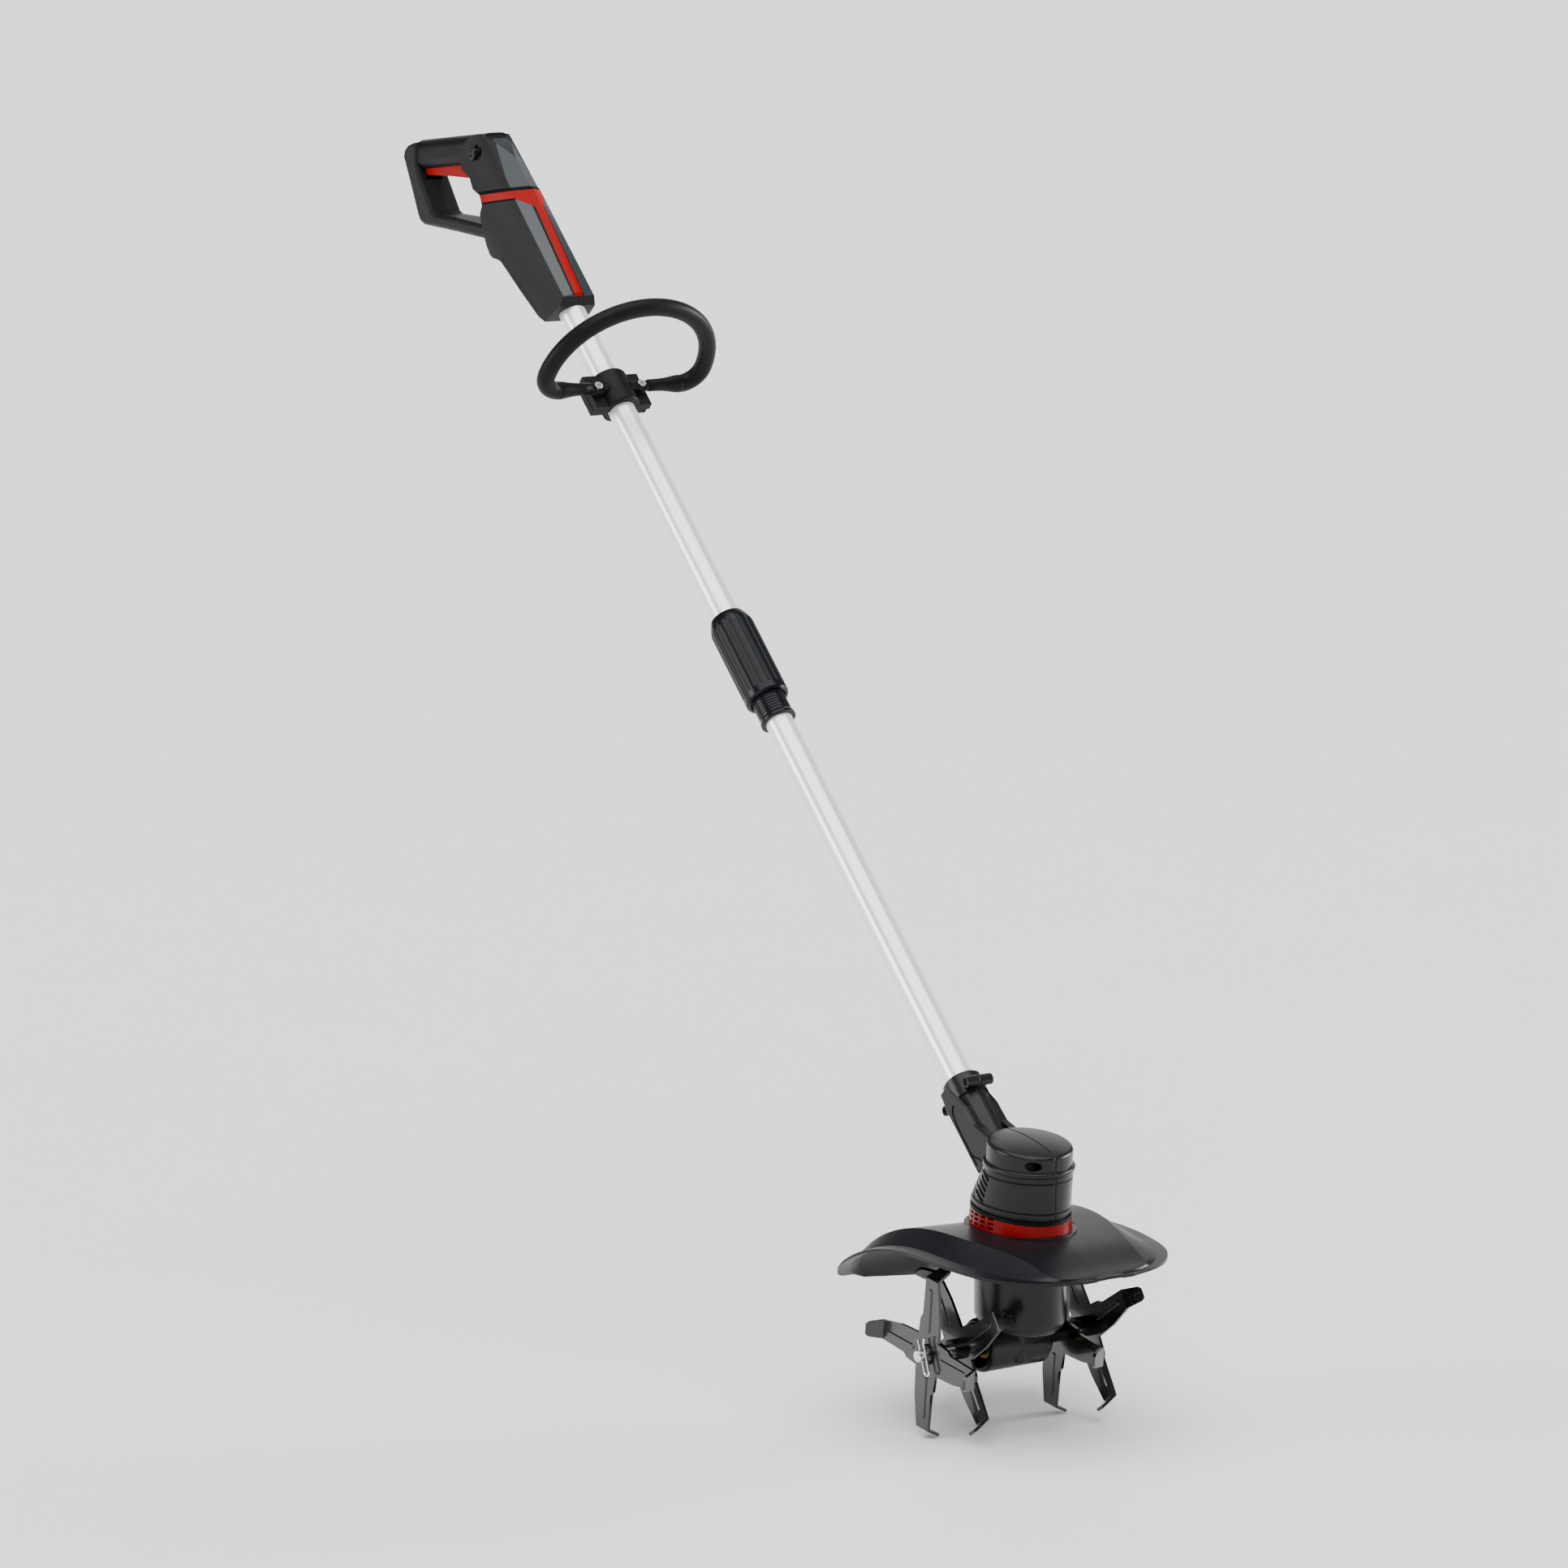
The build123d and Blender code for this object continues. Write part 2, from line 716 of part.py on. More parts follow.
with BuildPart() as loop_saddle:
    with BuildSketch(across_pole(loop_station - clamp_length / 2)):
        Circle(saddle_r)
        with Locations((0, -4.5)):
            Rectangle(2 * ear + 14, 7.8)
        with Locations((0, saddle_r)):
            Rectangle(4 * saddle_r, 2 * saddle_r - 1.2, mode=Mode.SUBTRACT)
    extrude(amount=clamp_length)
    for x in (-1, 1):
        with BuildSketch(
            Plane(origin=pole_point(loop_station, bar_front, x * stub_end), x_dir=loop_dir, z_dir=side * -x)
        ):
            RectangleRounded(stub_thick, stub_wide, 3)
        extrude(amount=stub_end - 12)
        with BuildSketch(Plane(origin=pole_point(loop_station, 4, x * ear), x_dir=side, z_dir=off_pole)):
            Circle(8)
        extrude(amount=screw_seat - 4)
    fillet(
        loop_saddle.edges().filter_by(GeomType.CIRCLE).filter_by(lambda e: abs(e.radius - saddle_r) < 0.1),
        2.5,
    )
    add(rod(pole_point(loop_station - 60), pole_point(loop_station + 60), tube_r + gap), mode=Mode.SUBTRACT)
    for x in (-1, 1):
        add(
            rod(pole_point(loop_station, screw_seat, x * ear), pole_point(loop_station, 40, x * ear), 6.0),
            mode=Mode.SUBTRACT,
        )
        add(
            rod(pole_point(loop_station, -20, x * ear), pole_point(loop_station, 40, x * ear), 2.5),
            mode=Mode.SUBTRACT,
        )

with BuildPart() as loop_clamp:
    with BuildSketch(across_pole(loop_station - clamp_length / 2 + 3)):
        Circle(saddle_r - 1)
        with Locations((0, 4.5)):
            Rectangle(2 * ear + 14, 7.8)
        with Locations((0, -saddle_r)):
            Rectangle(4 * saddle_r, 2 * saddle_r + 1.2, mode=Mode.SUBTRACT)
    extrude(amount=clamp_length - 6)
    # Lightening pockets between the ribs of the clamp half
    for shift in (-9, 9):
        with BuildSketch(across_pole(loop_station + shift - 5)):
            with Locations((0, saddle_r + 2)):
                Rectangle(26, 8)
        extrude(amount=10, mode=Mode.SUBTRACT)
    add(rod(pole_point(loop_station - 60), pole_point(loop_station + 60), tube_r + gap), mode=Mode.SUBTRACT)
    for x in (-1, 1):
        add(
            rod(pole_point(loop_station, -20, x * ear), pole_point(loop_station, 10, x * ear), 2.5),
            mode=Mode.SUBTRACT,
        )

with BuildPart() as clamp_screws:
    for x in (-1, 1):
        add(rod(pole_point(loop_station, -14, x * ear), pole_point(loop_station, screw_seat, x * ear), 2.5))
        with BuildSketch(
            Plane(origin=pole_point(loop_station, screw_seat, x * ear), x_dir=side, z_dir=off_pole)
        ):
            Circle(4.5)
            RegularPolygon(2.2, 6, mode=Mode.SUBTRACT)
        extrude(amount=3.6)

with BuildPart() as clamp_nuts:
    for x in (-1, 1):
        with BuildSketch(
            Plane(origin=pole_point(loop_station, -8.4, x * ear), x_dir=side, z_dir=-off_pole)
        ):
            RegularPolygon(4.6, 6)
            Circle(2.5, mode=Mode.SUBTRACT)
        extrude(amount=4)


# Motor housing: an oval tub that leans to the front, a domed crown and a socket arm, split at X = 0
head_at = (0, head_y)
lean = radians(head_tilt)
head_plane = Plane(origin=(0, head_y, head_low), x_dir=side, z_dir=(0, -sin(lean), cos(lean)))
arm_r = tube_r + 3.0
collar_r = tube_r + 5.4
cheek_x = 20.0
panel_deep = 1.0
spigot_in = 1.6
cavity_in = spigot_in + head_wall
ring_in = 3.4
groove = 2.5
post_x = head_wide - 17
post_y = head_long - 23
vent_low = guard_top
post_top = vent_low + 10
plate_low = vent_low + 31
plate_thick = 2.5
plate_in = cavity_in + 2.0
boss_along = socket_rim - 16.4
front_boss = 23.5
rear_boss = -24.5
pole_side = Plane(origin=pole_point(0), x_dir=off_pole, z_dir=-side)
cheek = [
    (-16.5, 246), (-16.5, 300), (-17, 318), (-14, socket_rim - 4), (2, socket_rim - 4), (8, 318),
    (12, 306), (13, 284),
    (24, 262), (24, 240),
]
panel = [
    (-12.5, 252), (-12.5, 300), (-9.5, 313), (-3, 317), (3, 312), (7.5, 302), (9, 284), (18, 264), (18, 252),
]


def oval(low, high, grow):
    with BuildPart() as piece:
        with BuildSketch(Plane.XY.offset(low)):
            with Locations(head_at):
                Ellipse(head_wide + grow, head_long + grow)
        extrude(amount=high - low)
    return piece.part


def tub(low, high, grow):
    with BuildPart() as piece:
        for height in (low, high):
            share = height / ledge_height
            with BuildSketch(head_plane.offset(height)):
                with Locations((0, crown_shift * share)):
                    Ellipse(
                        head_wide + (crown_wide - head_wide) * share + grow,
                        head_long + (crown_long - head_long) * share + grow,
                    )
        loft()
    return piece.part


def crown(low, grow, drop):
    with BuildPart() as piece:
        with BuildSketch(head_plane.offset(low)):
            with Locations((0, crown_shift)):
                Ellipse(crown_wide + grow, crown_long + grow)
        extrude(amount=crown_height + 20 - low)
        with Locations(
            head_plane.from_local_coords(Vector(0, crown_shift + dome_back, crown_peak - dome_r - drop))
        ):
            Sphere(dome_r, rotation=(0, 90, 0), mode=Mode.INTERSECT)
    return piece.part


def posts(low, high, radius):
    with BuildPart() as piece:
        with BuildSketch(Plane.XY.offset(low)):
            with Locations(head_at):
                with GridLocations(2 * post_x, 2 * post_y, 2, 2):
                    Circle(radius)
        extrude(amount=high - low)
    return piece.part


with BuildPart() as arm_form:
    add(prism(pole_side, cheek, cheek_x))
    fillet(arm_form.edges().filter_by(Axis.X), 3)
    fillet(arm_form.faces().filter_by(Axis.X).edges(), 2.5)
    for x in (-1, 1):
        face = Plane(origin=pole_point(0, 0, x * cheek_x), x_dir=off_pole, z_dir=-side)
        add(prism(face, panel, panel_deep), mode=Mode.SUBTRACT)
    add(prism(pole_side, cheek, arm_r - 6), mode=Mode.SUBTRACT)
    add(rod(pole_point(252), pole_point(socket_rim), arm_r))
    add(rod(pole_point(socket_rim - 22), pole_point(socket_rim - 2), collar_r))
    for front, width in ((front_boss, boss_d), (rear_boss, boss_d - 1)):
        add(rod(pole_point(boss_along, front, -14.5), pole_point(boss_along, front, 14.5), width / 2))
        with Locations(Plane(origin=pole_point(boss_along + 2, front * 0.72), x_dir=side, z_dir=up_pole)):
            Box(22, 12, 9)

with BuildPart() as housing_crown:
    add(crown(ledge_height + 1, -1.2, 0))
    fillet(housing_crown.faces().filter_by(GeomType.SPHERE).edges(), 4)

with BuildPart() as housing_ledge:
    with BuildSketch(head_plane.offset(ledge_height)):
        with Locations((0, crown_shift)):
            Ellipse(crown_wide + 1.6, crown_long + 1.6)
    extrude(amount=ledge_thick)
    fillet(housing_ledge.edges(), 1.8)

# Shelf that holds the motor plate between the halves
with BuildPart() as shelf:
    add(tub(0, ledge_height, -cavity_in + 0.5))
    with Locations((0, head_y, plate_low + plate_thick / 2)):
        Box(200, 200, plate_thick + 4, mode=Mode.INTERSECT)
    add(oval(0, 300, -plate_in - 4), mode=Mode.SUBTRACT)

housing_screw_points = [
    (pole_point(boss_along, front_boss), 3.6),
    (pole_point(boss_along, rear_boss), 3.6),
    (head_plane.from_local_coords(Vector(0, crown_shift - crown_long + 8, crown_height - 8)), 4.4),
]

# Pillar of the front screw, trimmed to the outside of the crown
with BuildPart() as pillar:
    add(rod(housing_screw_points[2][0] - side * 30, housing_screw_points[2][0] + side * 30, 6))
    add(crown(ledge_height + 3, -1.5, 0), mode=Mode.INTERSECT)

with BuildPart() as housing_form:
    add(tub(-6, 1, -spigot_in))
    add(tub(0, ledge_height + 2, 0))
    add(housing_ledge.part)
    add(housing_crown.part)
    add(arm_form.part)
    add(tub(-8, ledge_height, -cavity_in), mode=Mode.SUBTRACT)
    add(crown(ledge_height - 6, -cavity_in - 1.2, head_wall), mode=Mode.SUBTRACT)
    add(shelf.part)
    add(oval(plate_low, plate_low + plate_thick, -plate_in), mode=Mode.SUBTRACT)
    add(pillar.part)
    for point, recess in housing_screw_points:
        add(rod(point - side * 60, point - side * 9, recess), mode=Mode.SUBTRACT)
        add(rod(point - side * 10, point + side * 11, 1.8), mode=Mode.SUBTRACT)
    add(rod(pole_point(socket_rim - socket_depth), pole_point(socket_rim + 20), tube_r), mode=Mode.SUBTRACT)
    add(
        rod(pole_point(236), pole_point(socket_rim - socket_depth + 1), cable_d / 2 + 1), mode=Mode.SUBTRACT
    )
    # Slanted air slots at the rear of both sides
    for x in (-1, 1):
        for row in range(5):
            wall = head_plane.from_local_coords(
                Vector(x * head_wide * cos(radians(30)), head_long * sin(radians(30)) - 2.5, 8 + 6.4 * row)
            )
            out = Vector(x * cos(radians(25)), sin(radians(25)), 0)
            along = out.cross(Vector(0, 0, 1)) * -x * cos(radians(32)) + Vector(0, 0, sin(radians(32)))
            with BuildSketch(Plane(origin=wall - out * 6, x_dir=along, z_dir=out)):
                SlotOverall(17, 3.2)
            extrude(amount=12, mode=Mode.SUBTRACT)

with BuildPart() as head_shell_left:
    add(housing_form.part)
    split(bisect_by=Plane.YZ, keep=Keep.TOP)

with BuildPart() as head_shell_right:
    add(housing_form.part)
    split(bisect_by=Plane.YZ, keep=Keep.BOTTOM)

with BuildPart() as head_screws:
    for point, recess in housing_screw_points:
        add(rod(point - side * 9, point + side * 10, 1.8))
        with BuildSketch(Plane(origin=point - side * 9, x_dir=(0, 1, 0), z_dir=-side)):
            Circle(3.3)
            RegularPolygon(1.5, 6, mode=Mode.SUBTRACT)
        extrude(amount=2.4)

# Red ring between housing and guard, taller at the rear, with three rows of air slots at each side
with BuildPart() as vent_ring:
    with BuildSketch(Plane.XY.offset(vent_low)):
        with Locations(head_at):
            Ellipse(head_wide + 1.5, head_long + 1.5)
    extrude(amount=40, taper=4)
    split(bisect_by=head_plane.offset(-groove), keep=Keep.BOTTOM)
    add(oval(vent_low - 1, vent_low + 50, -ring_in), mode=Mode.SUBTRACT)
    add(tub(-6, 6, -spigot_in), mode=Mode.SUBTRACT)
    add(posts(vent_low, post_top, 5))
    add(posts(vent_low - 1, post_top + 1, 1.8), mode=Mode.SUBTRACT)
    for x in (-1, 1):
        for turn in range(-12, 73, 12):
            rim = Vector(
                x * head_wide * cos(radians(turn)), head_y + head_long * sin(radians(turn)), vent_low + 8.4
            )
            out = Vector(x * cos(radians(turn)) / head_wide, sin(radians(turn)) / head_long, 0)
            with Locations(Plane(origin=rim, x_dir=out.cross(Vector(0, 0, 1)), z_dir=out)):
                with GridLocations(1, 4.4, 1, 3):
                    Box(7.4, 2.4, 8, mode=Mode.SUBTRACT)

# Motor on its plate, shaft with worm thread, fan in the ring
with BuildPart() as motor_plate:
    add(oval(plate_low, plate_low + plate_thick, -plate_in))
    with BuildSketch(Plane.XY.offset(plate_low)):
        with Locations(head_at):
            Circle(9)
            with PolarLocations(motor_d / 2 + 5.5, 8, start_angle=22.5):
                Circle(4.5)
    extrude(amount=plate_thick, mode=Mode.SUBTRACT)

shaft_r = 3.0
shaft_fit = 0.06
can_low = plate_low + plate_thick
motor_top = can_low + 40
with BuildPart() as motor_can:
    with BuildSketch(Plane.XY.offset(can_low)):
        with Locations(head_at):
            Circle(motor_d / 2)
    extrude(amount=motor_top - can_low)
    fillet(motor_can.edges().group_by(Axis.Z)[-1], 3)
    with BuildSketch(Plane.XY.offset(plate_low - 2)):
        with Locations(head_at):
            Circle(9)
    extrude(amount=motor_top - plate_low + 5)
    with BuildSketch(Plane.XY.offset(plate_low - 10)):
        with Locations(head_at):
            Circle(shaft_r + shaft_fit)
    extrude(amount=motor_top - plate_low + 30, mode=Mode.SUBTRACT)

worm_tip = worm_r + 0.7
shaft_low = -13.0
worm_turns = 4.5
with BuildPart() as worm_thread:
    with BuildLine() as worm_line:
        Helix(worm_lead, worm_turns * worm_lead, shaft_r, center=(0, head_y, -worm_turns / 2 * worm_lead))
    with BuildSketch(Plane(origin=worm_line.line @ 0, x_dir=side, z_dir=worm_line.line % 0)):
        with BuildLine():
            Polyline(
                (-0.3, -0.8),
                (worm_tip - shaft_r, -0.45),
                (worm_tip - shaft_r, 0.45),
                (-0.3, 0.8),
                close=True,
            )
        make_face()
    sweep(path=worm_line.wire(), is_frenet=True)

with BuildPart() as rotor_shaft:
    with BuildSketch(Plane.XY.offset(shaft_low)):
        with Locations(head_at):
            Circle(shaft_r)
    extrude(amount=motor_top + 2 - shaft_low)
    add(worm_thread.part)

fan_low = vent_low + 2.0
fan_r = head_wide - 9
with BuildPart() as fan:
    with BuildSketch(Plane.XY.offset(fan_low)):
        with Locations(head_at):
            Circle(fan_r)
    extrude(amount=1.6)
    with BuildSketch(Plane.XY.offset(fan_low)):
        with Locations(head_at):
            Circle(8)
    extrude(amount=8)
    with BuildSketch(Plane.XY.offset(fan_low + 1)):
        with Locations(head_at):
            with PolarLocations((fan_r + 10) / 2, 12):
                Rectangle(fan_r - 12, 1.4)
    extrude(amount=6)
    with BuildSketch(Plane.XY.offset(fan_low - 1)):
        with Locations(head_at):
            Circle(shaft_r)
    extrude(amount=12, mode=Mode.SUBTRACT)

# Guard: one moulded skin with a raised crown and a flat brim, lofted from the front lip
# to the dipping rear edge
# Each row: station along Y, half width, height of the rim, half width and height of the crown edge,
# height of the middle
guard_sections = [
    (-161, 0.24, 96.5, 0.13, 97.2, 97.6),
    (-153, 0.49, 96.8, 0.36, 98.6, 99),
    (-141, 0.68, 97.3, 0.48, 101, 101.6),
    (-126, 0.81, 98, 0.50, 105, 105.7),
    (-105, 0.91, 99, 0.54, 110.5, 111.2),
    (-80, 0.965, 100, 0.60, 114.5, 114.9),
    (-50, 1.00, 101, 0.68, 117.5, 116.5),
    (0, 1.00, 101, 0.74, 118.5, 116.5),
    (50, 1.00, 94.5, 0.76, 110, 105.5),
    (90, 1.00, 81, 0.77, 93, 87),
    (124, 0.96, 61, 0.74, 67, 57),
    (141, 0.82, 48, 0.60, 43.5, 36),
]
with BuildPart() as guard:
    for y, width, rim, flat, top, middle in guard_sections:
        with BuildSketch(Plane(origin=(0, y, 0), x_dir=side, z_dir=(0, -1, 0))):
            with BuildLine():
                w = guard_half * width
                upper = [(w, rim), (w - brim, rim + (top - rim) / 12), (guard_half * flat, top)]
                outer = upper + [(0, middle)] + [(-px, py) for px, py in reversed(upper)]
                Polyline(*outer, *[(px, py - guard_skin) for px, py in reversed(outer)], close=True)
            make_face()
    loft()
    # Oval well for the vent ring, with the seat of the gear case flange below it
    add(oval(guard_top - 11, guard_top, 6))
    add(oval(guard_top, guard_top + 20, 5), mode=Mode.SUBTRACT)
    add(oval(guard_top - 40, guard_top - guard_skin, 0.3), mode=Mode.SUBTRACT)
    with BuildSketch(Plane.XY.offset(guard_top - 3 * guard_skin)):
        with Locations(head_at):
            Circle(20)
            with GridLocations(2 * post_x, 2 * post_y, 2, 2):
                Circle(1.8)
    extrude(amount=5 * guard_skin, mode=Mode.SUBTRACT)

# Gear case: oval tower under the guard, cross tube for the axle, lug for the lower worm bearing
case_top = guard_top - guard_skin
chamber_r = axle_d / 2 + 11.6
mouth_deep = 9.0
with BuildPart() as tower_form:
    with BuildSketch(Plane.XY.offset(16)):
        with Locations(head_at):
            Ellipse(tower_wide, tower_long)
    extrude(amount=case_top - 16)
    fillet(tower_form.edges().group_by(Axis.Z)[0], 16)

with BuildPart() as cross_form:
    add(rod(side * -case_half, side * case_half, case_r))
    fillet(cross_form.edges().filter_by(GeomType.CIRCLE), 4)

with BuildPart() as lug_form:
    add(rod(Vector(0, head_y, -18), Vector(0, head_y, 22), 7.5))
    fillet(lug_form.edges().group_by(Axis.Z)[0], 4)

with BuildPart() as gear_case:
    add(tower_form.part)
    add(oval(case_top - 6, case_top, 0))
    add(cross_form.part)
    add(lug_form.part)
    with BuildSketch(Plane.XY.offset(34)):
        with Locations(head_at):
            Ellipse(tower_wide - case_wall, tower_long - case_wall)
    extrude(amount=case_top - 6 - 34, mode=Mode.SUBTRACT)
    add(posts(case_top - 18, case_top, 5))
    add(rod(side * -9, side * 9, chamber_r), mode=Mode.SUBTRACT)
    add(rod(Vector(0, head_y, -11), Vector(0, head_y, 20), worm_tip + 0.9), mode=Mode.SUBTRACT)
    add(
        rod(Vector(0, head_y, -15), Vector(0, head_y, case_top + 5), shaft_r + shaft_fit),
        mode=Mode.SUBTRACT,
    )
    add(rod(side * -60, side * 60, axle_d / 2 + 0.5), mode=Mode.SUBTRACT)
    # Open ends of the cross tube around the hubs, and the seats of the bushes
    for x in (-1, 1):
        add(rod(side * x * (case_half - mouth_deep), side * x * 60, case_r - case_wall), mode=Mode.SUBTRACT)
        add(rod(side * x * (case_half - mouth_deep - 9), side * x * 60, axle_d / 2 + 4), mode=Mode.SUBTRACT)
    add(posts(case_top - 18, case_top + 1, 1.8), mode=Mode.SUBTRACT)

with BuildPart() as guard_screws:
    add(posts(case_top - 16, post_top, 1.8))
    add(posts(post_top, post_top + 3, 3.4))

bush_r = axle_d / 2 + 4
mouth = case_half - mouth_deep
with BuildPart() as axle_bushes:
    for x in (-1, 1):
        add(rod(side * x * (mouth - 9), side * x * mouth, bush_r))
        add(rod(side * x * mouth, side * x * (mouth + 2.5), bush_r + 3))
    add(rod(side * -60, side * 60, axle_d / 2 + shaft_fit), mode=Mode.SUBTRACT)

# Axle with worm wheel
pin_at = axle_half - 5.5
wire_r = 1.2
pin_lean = Vector(0, -sin(radians(20)), -cos(radians(20)))
with BuildPart() as axle:
    add(rod(side * -axle_half, side * axle_half, axle_d / 2))
    chamfer(axle.edges().filter_by(GeomType.CIRCLE), 1)
    for x in (-1, 1):
        add(
            rod(side * x * pin_at - pin_lean * 10, side * x * pin_at + pin_lean * 10, wire_r),
            mode=Mode.SUBTRACT,
        )

pitch_r = wheel_teeth * worm_lead / (2 * pi)
wheel_root = pitch_r - tooth_depth - 0.1
tooth_tilt = degrees(asin(worm_lead / (2 * pi * worm_r)))
tooth_high = -head_y - shaft_r - 0.35 - wheel_root
with BuildPart() as worm_wheel:
    add(rod(side * -4, side * 4, wheel_root))
    add(rod(side * -7, side * 7, axle_d / 2 + 3))
    for tooth in range(wheel_teeth):
        turn = radians((tooth + 0.5) * 360 / wheel_teeth)
        out = Vector(0, -cos(turn), sin(turn))
        round_ = Vector(0, sin(turn), cos(turn))
        along = side * cos(radians(tooth_tilt)) - round_ * sin(radians(tooth_tilt))
        with BuildSketch(Plane(origin=out * (wheel_root - 0.25), x_dir=along, z_dir=out)):
            Rectangle(7.4, 1.9)
        extrude(amount=tooth_high + 0.25, taper=15)
    add(rod(side * -20, side * 20, axle_d / 2), mode=Mode.SUBTRACT)


# Tine star: four pressed arms with an embossed rib each and a tip bent to the side, welded to a hub
hub_r = axle_d / 2 + 4
rib_high = 1.2


with BuildSketch() as tine_arm:
    with BuildLine():
        Polyline(
            (star_reach, 10.5), (0.6 * star_reach, 16), (0.28 * star_reach, 17), (-5, 17), (-5, -16),
            (0.28 * star_reach, -15), (0.45 * star_reach, -13.5), (0.51 * star_reach, -10),
            (star_reach, -8.5),
            close=True,
        )
    make_face()


def tine_star(x, phase, even_side, hub_from, hub_to):
    with BuildPart() as star:
        with BuildSketch(Plane(origin=(x, 0, 0), x_dir=(0, 1, 0), z_dir=side)):
            with PolarLocations(0, 4, start_angle=90 + phase):
                add(tine_arm.sketch)
        extrude(amount=star_plate / 2, both=True)
        for quarter in range(4):
            turn = radians(90 + phase + 90 * quarter)
            out = Vector(0, cos(turn), sin(turn))
            across = Vector(0, -sin(turn), cos(turn))
            to_side = side * even_side * (-1) ** quarter
            bend = out * cos(radians(tip_bend)) + to_side * sin(radians(tip_bend))
            knee = Vector(x, 0, 0) + out * star_reach
            with BuildSketch(Plane(origin=knee, x_dir=bend, z_dir=bend.cross(across))):
                with BuildLine():
                    Polyline(
                        (0, 10.5), (tip_length - 3, 8), (tip_length, 5.5), (tip_length, -4),
                        (tip_length - 3, -6.5), (0, -8.5),
                        close=True,
                    )
                make_face()
            extrude(amount=star_plate / 2, both=True)
            add(rod(knee - across * 8.5, knee + across * 10.5, star_plate / 2))
            with BuildSketch(
                Plane(origin=Vector(x - star_plate / 2, 0, 0) + out * 43, x_dir=out, z_dir=-side)
            ):
                SlotOverall(44, 5.5)
            extrude(amount=rib_high, taper=30)
        add(rod(side * hub_from, side * hub_to, hub_r))
        add(rod(side * -axle_half, side * axle_half, axle_d / 2), mode=Mode.SUBTRACT)
    return star.part


tine_outer_right = tine_star(-star_outer, star_turn_a, 1, -star_outer - 4, -star_outer + 14)
tine_inner_right = tine_star(-star_inner, star_turn_b, -1, -star_inner - 10, -mouth - 4)
tine_inner_left = tine_star(star_inner, star_turn_a, 1, mouth + 4, star_inner + 10)
tine_outer_left = tine_star(star_outer, star_turn_b, -1, star_outer - 14, star_outer + 4)

# Hairpins: one straight leg through the axle, an eye, and a sprung leg around the outside
eye_r = (axle_d / 2 + wire_r + 0.4) / 2
flare_r = 5.0
flare = 30
with BuildPart() as hairpins:
    for x in (-1, 1):
        pin_plane = Plane(origin=(x * pin_at, 0, 0), x_dir=pin_lean.cross(side), z_dir=side)
        inner_end = pin_plane.from_local_coords(Vector(0, 16, 0))
        outer_end = pin_plane.from_local_coords(Vector(2 * eye_r, 16, 0))
        knee = pin_plane.from_local_coords(Vector(2 * eye_r, -9, 0))
        flare_axis = Axis(pin_plane.from_local_coords(Vector(2 * eye_r + flare_r, -9, 0)), side)
        tip_dir = pin_plane.x_dir * sin(radians(flare)) - pin_lean * cos(radians(flare))
        tip_from = flare_axis.position - pin_plane.x_dir * flare_r * cos(radians(flare))
        tip_from = tip_from - pin_lean * flare_r * sin(radians(flare))
        add(rod(inner_end - pin_lean * 31, inner_end, wire_r))
        add(rod(knee, outer_end, wire_r))
        with BuildSketch(Plane(origin=outer_end, x_dir=pin_plane.x_dir, z_dir=pin_lean)):
            Circle(wire_r)
        revolve(axis=Axis(pin_plane.from_local_coords(Vector(eye_r, 16, 0)), side), revolution_arc=180)
        with BuildSketch(Plane(origin=knee, x_dir=pin_plane.x_dir, z_dir=-pin_lean)):
            Circle(wire_r)
        revolve(axis=flare_axis, revolution_arc=flare)
        add(rod(tip_from, tip_from + tip_dir * 4, wire_r))

save(handle_shell_left.part, "handle_shell_left")
save(handle_shell_right.part, "handle_shell_right")
save(ring_band.part, "ring_band")
save(stripe.part, "stripe")
save(grip_sleeve.part, "grip_sleeve")
save(trigger.part, "trigger")
save(trigger_pin, "trigger_pin")
save(switch.part, "switch")
save(switch_plunger.part, "switch_plunger")
save(lock_button.part, "lock_button")
save(shell_screws.part, "shell_screws")
save(controller.part, "controller")
save(contact_block.part, "contact_block")
save(battery.part, "battery")
save(battery_latch.part, "battery_latch")
save(upper_tube, "upper_tube")
save(lower_tube, "lower_tube")
save(coupling_neck.part, "coupling_neck")
save(coupling_spigot, "coupling_spigot")
save(thrust_ring, "thrust_ring")
save(union_nut.part, "union_nut")
save(lower_connector.part, "lower_connector")
save(upper_connector.part, "upper_connector")
save(lower_cable, "lower_cable")
save(upper_cable, "upper_cable")
save(loop_saddle.part, "loop_saddle")
save(loop_grip.part, "loop_grip")
save(loop_clamp.part, "loop_clamp")
save(clamp_screws.part, "clamp_screws")
save(clamp_nuts.part, "clamp_nuts")
save(head_shell_left.part, "head_shell_left")
save(head_shell_right.part, "head_shell_right")
save(head_screws.part, "head_screws")
save(vent_ring.part, "vent_ring")
save(motor_plate.part, "motor_plate")
save(motor_can.part, "motor_can")
save(rotor_shaft.part, "rotor_shaft")
save(fan.part, "fan")
save(guard.part, "guard")
save(guard_screws.part, "guard_screws")
save(gear_case.part, "gear_case")
save(axle_bushes.part, "axle_bushes")
save(axle.part, "axle")
save(worm_wheel.part, "worm_wheel")
save(tine_outer_right, "tine_outer_right")
save(tine_inner_right, "tine_inner_right")
save(tine_inner_left, "tine_inner_left")
save(tine_outer_left, "tine_outer_left")
save(hairpins.part, "hairpins")
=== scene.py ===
import math

import bmesh
import bpy
from mathutils import Matrix, Vector


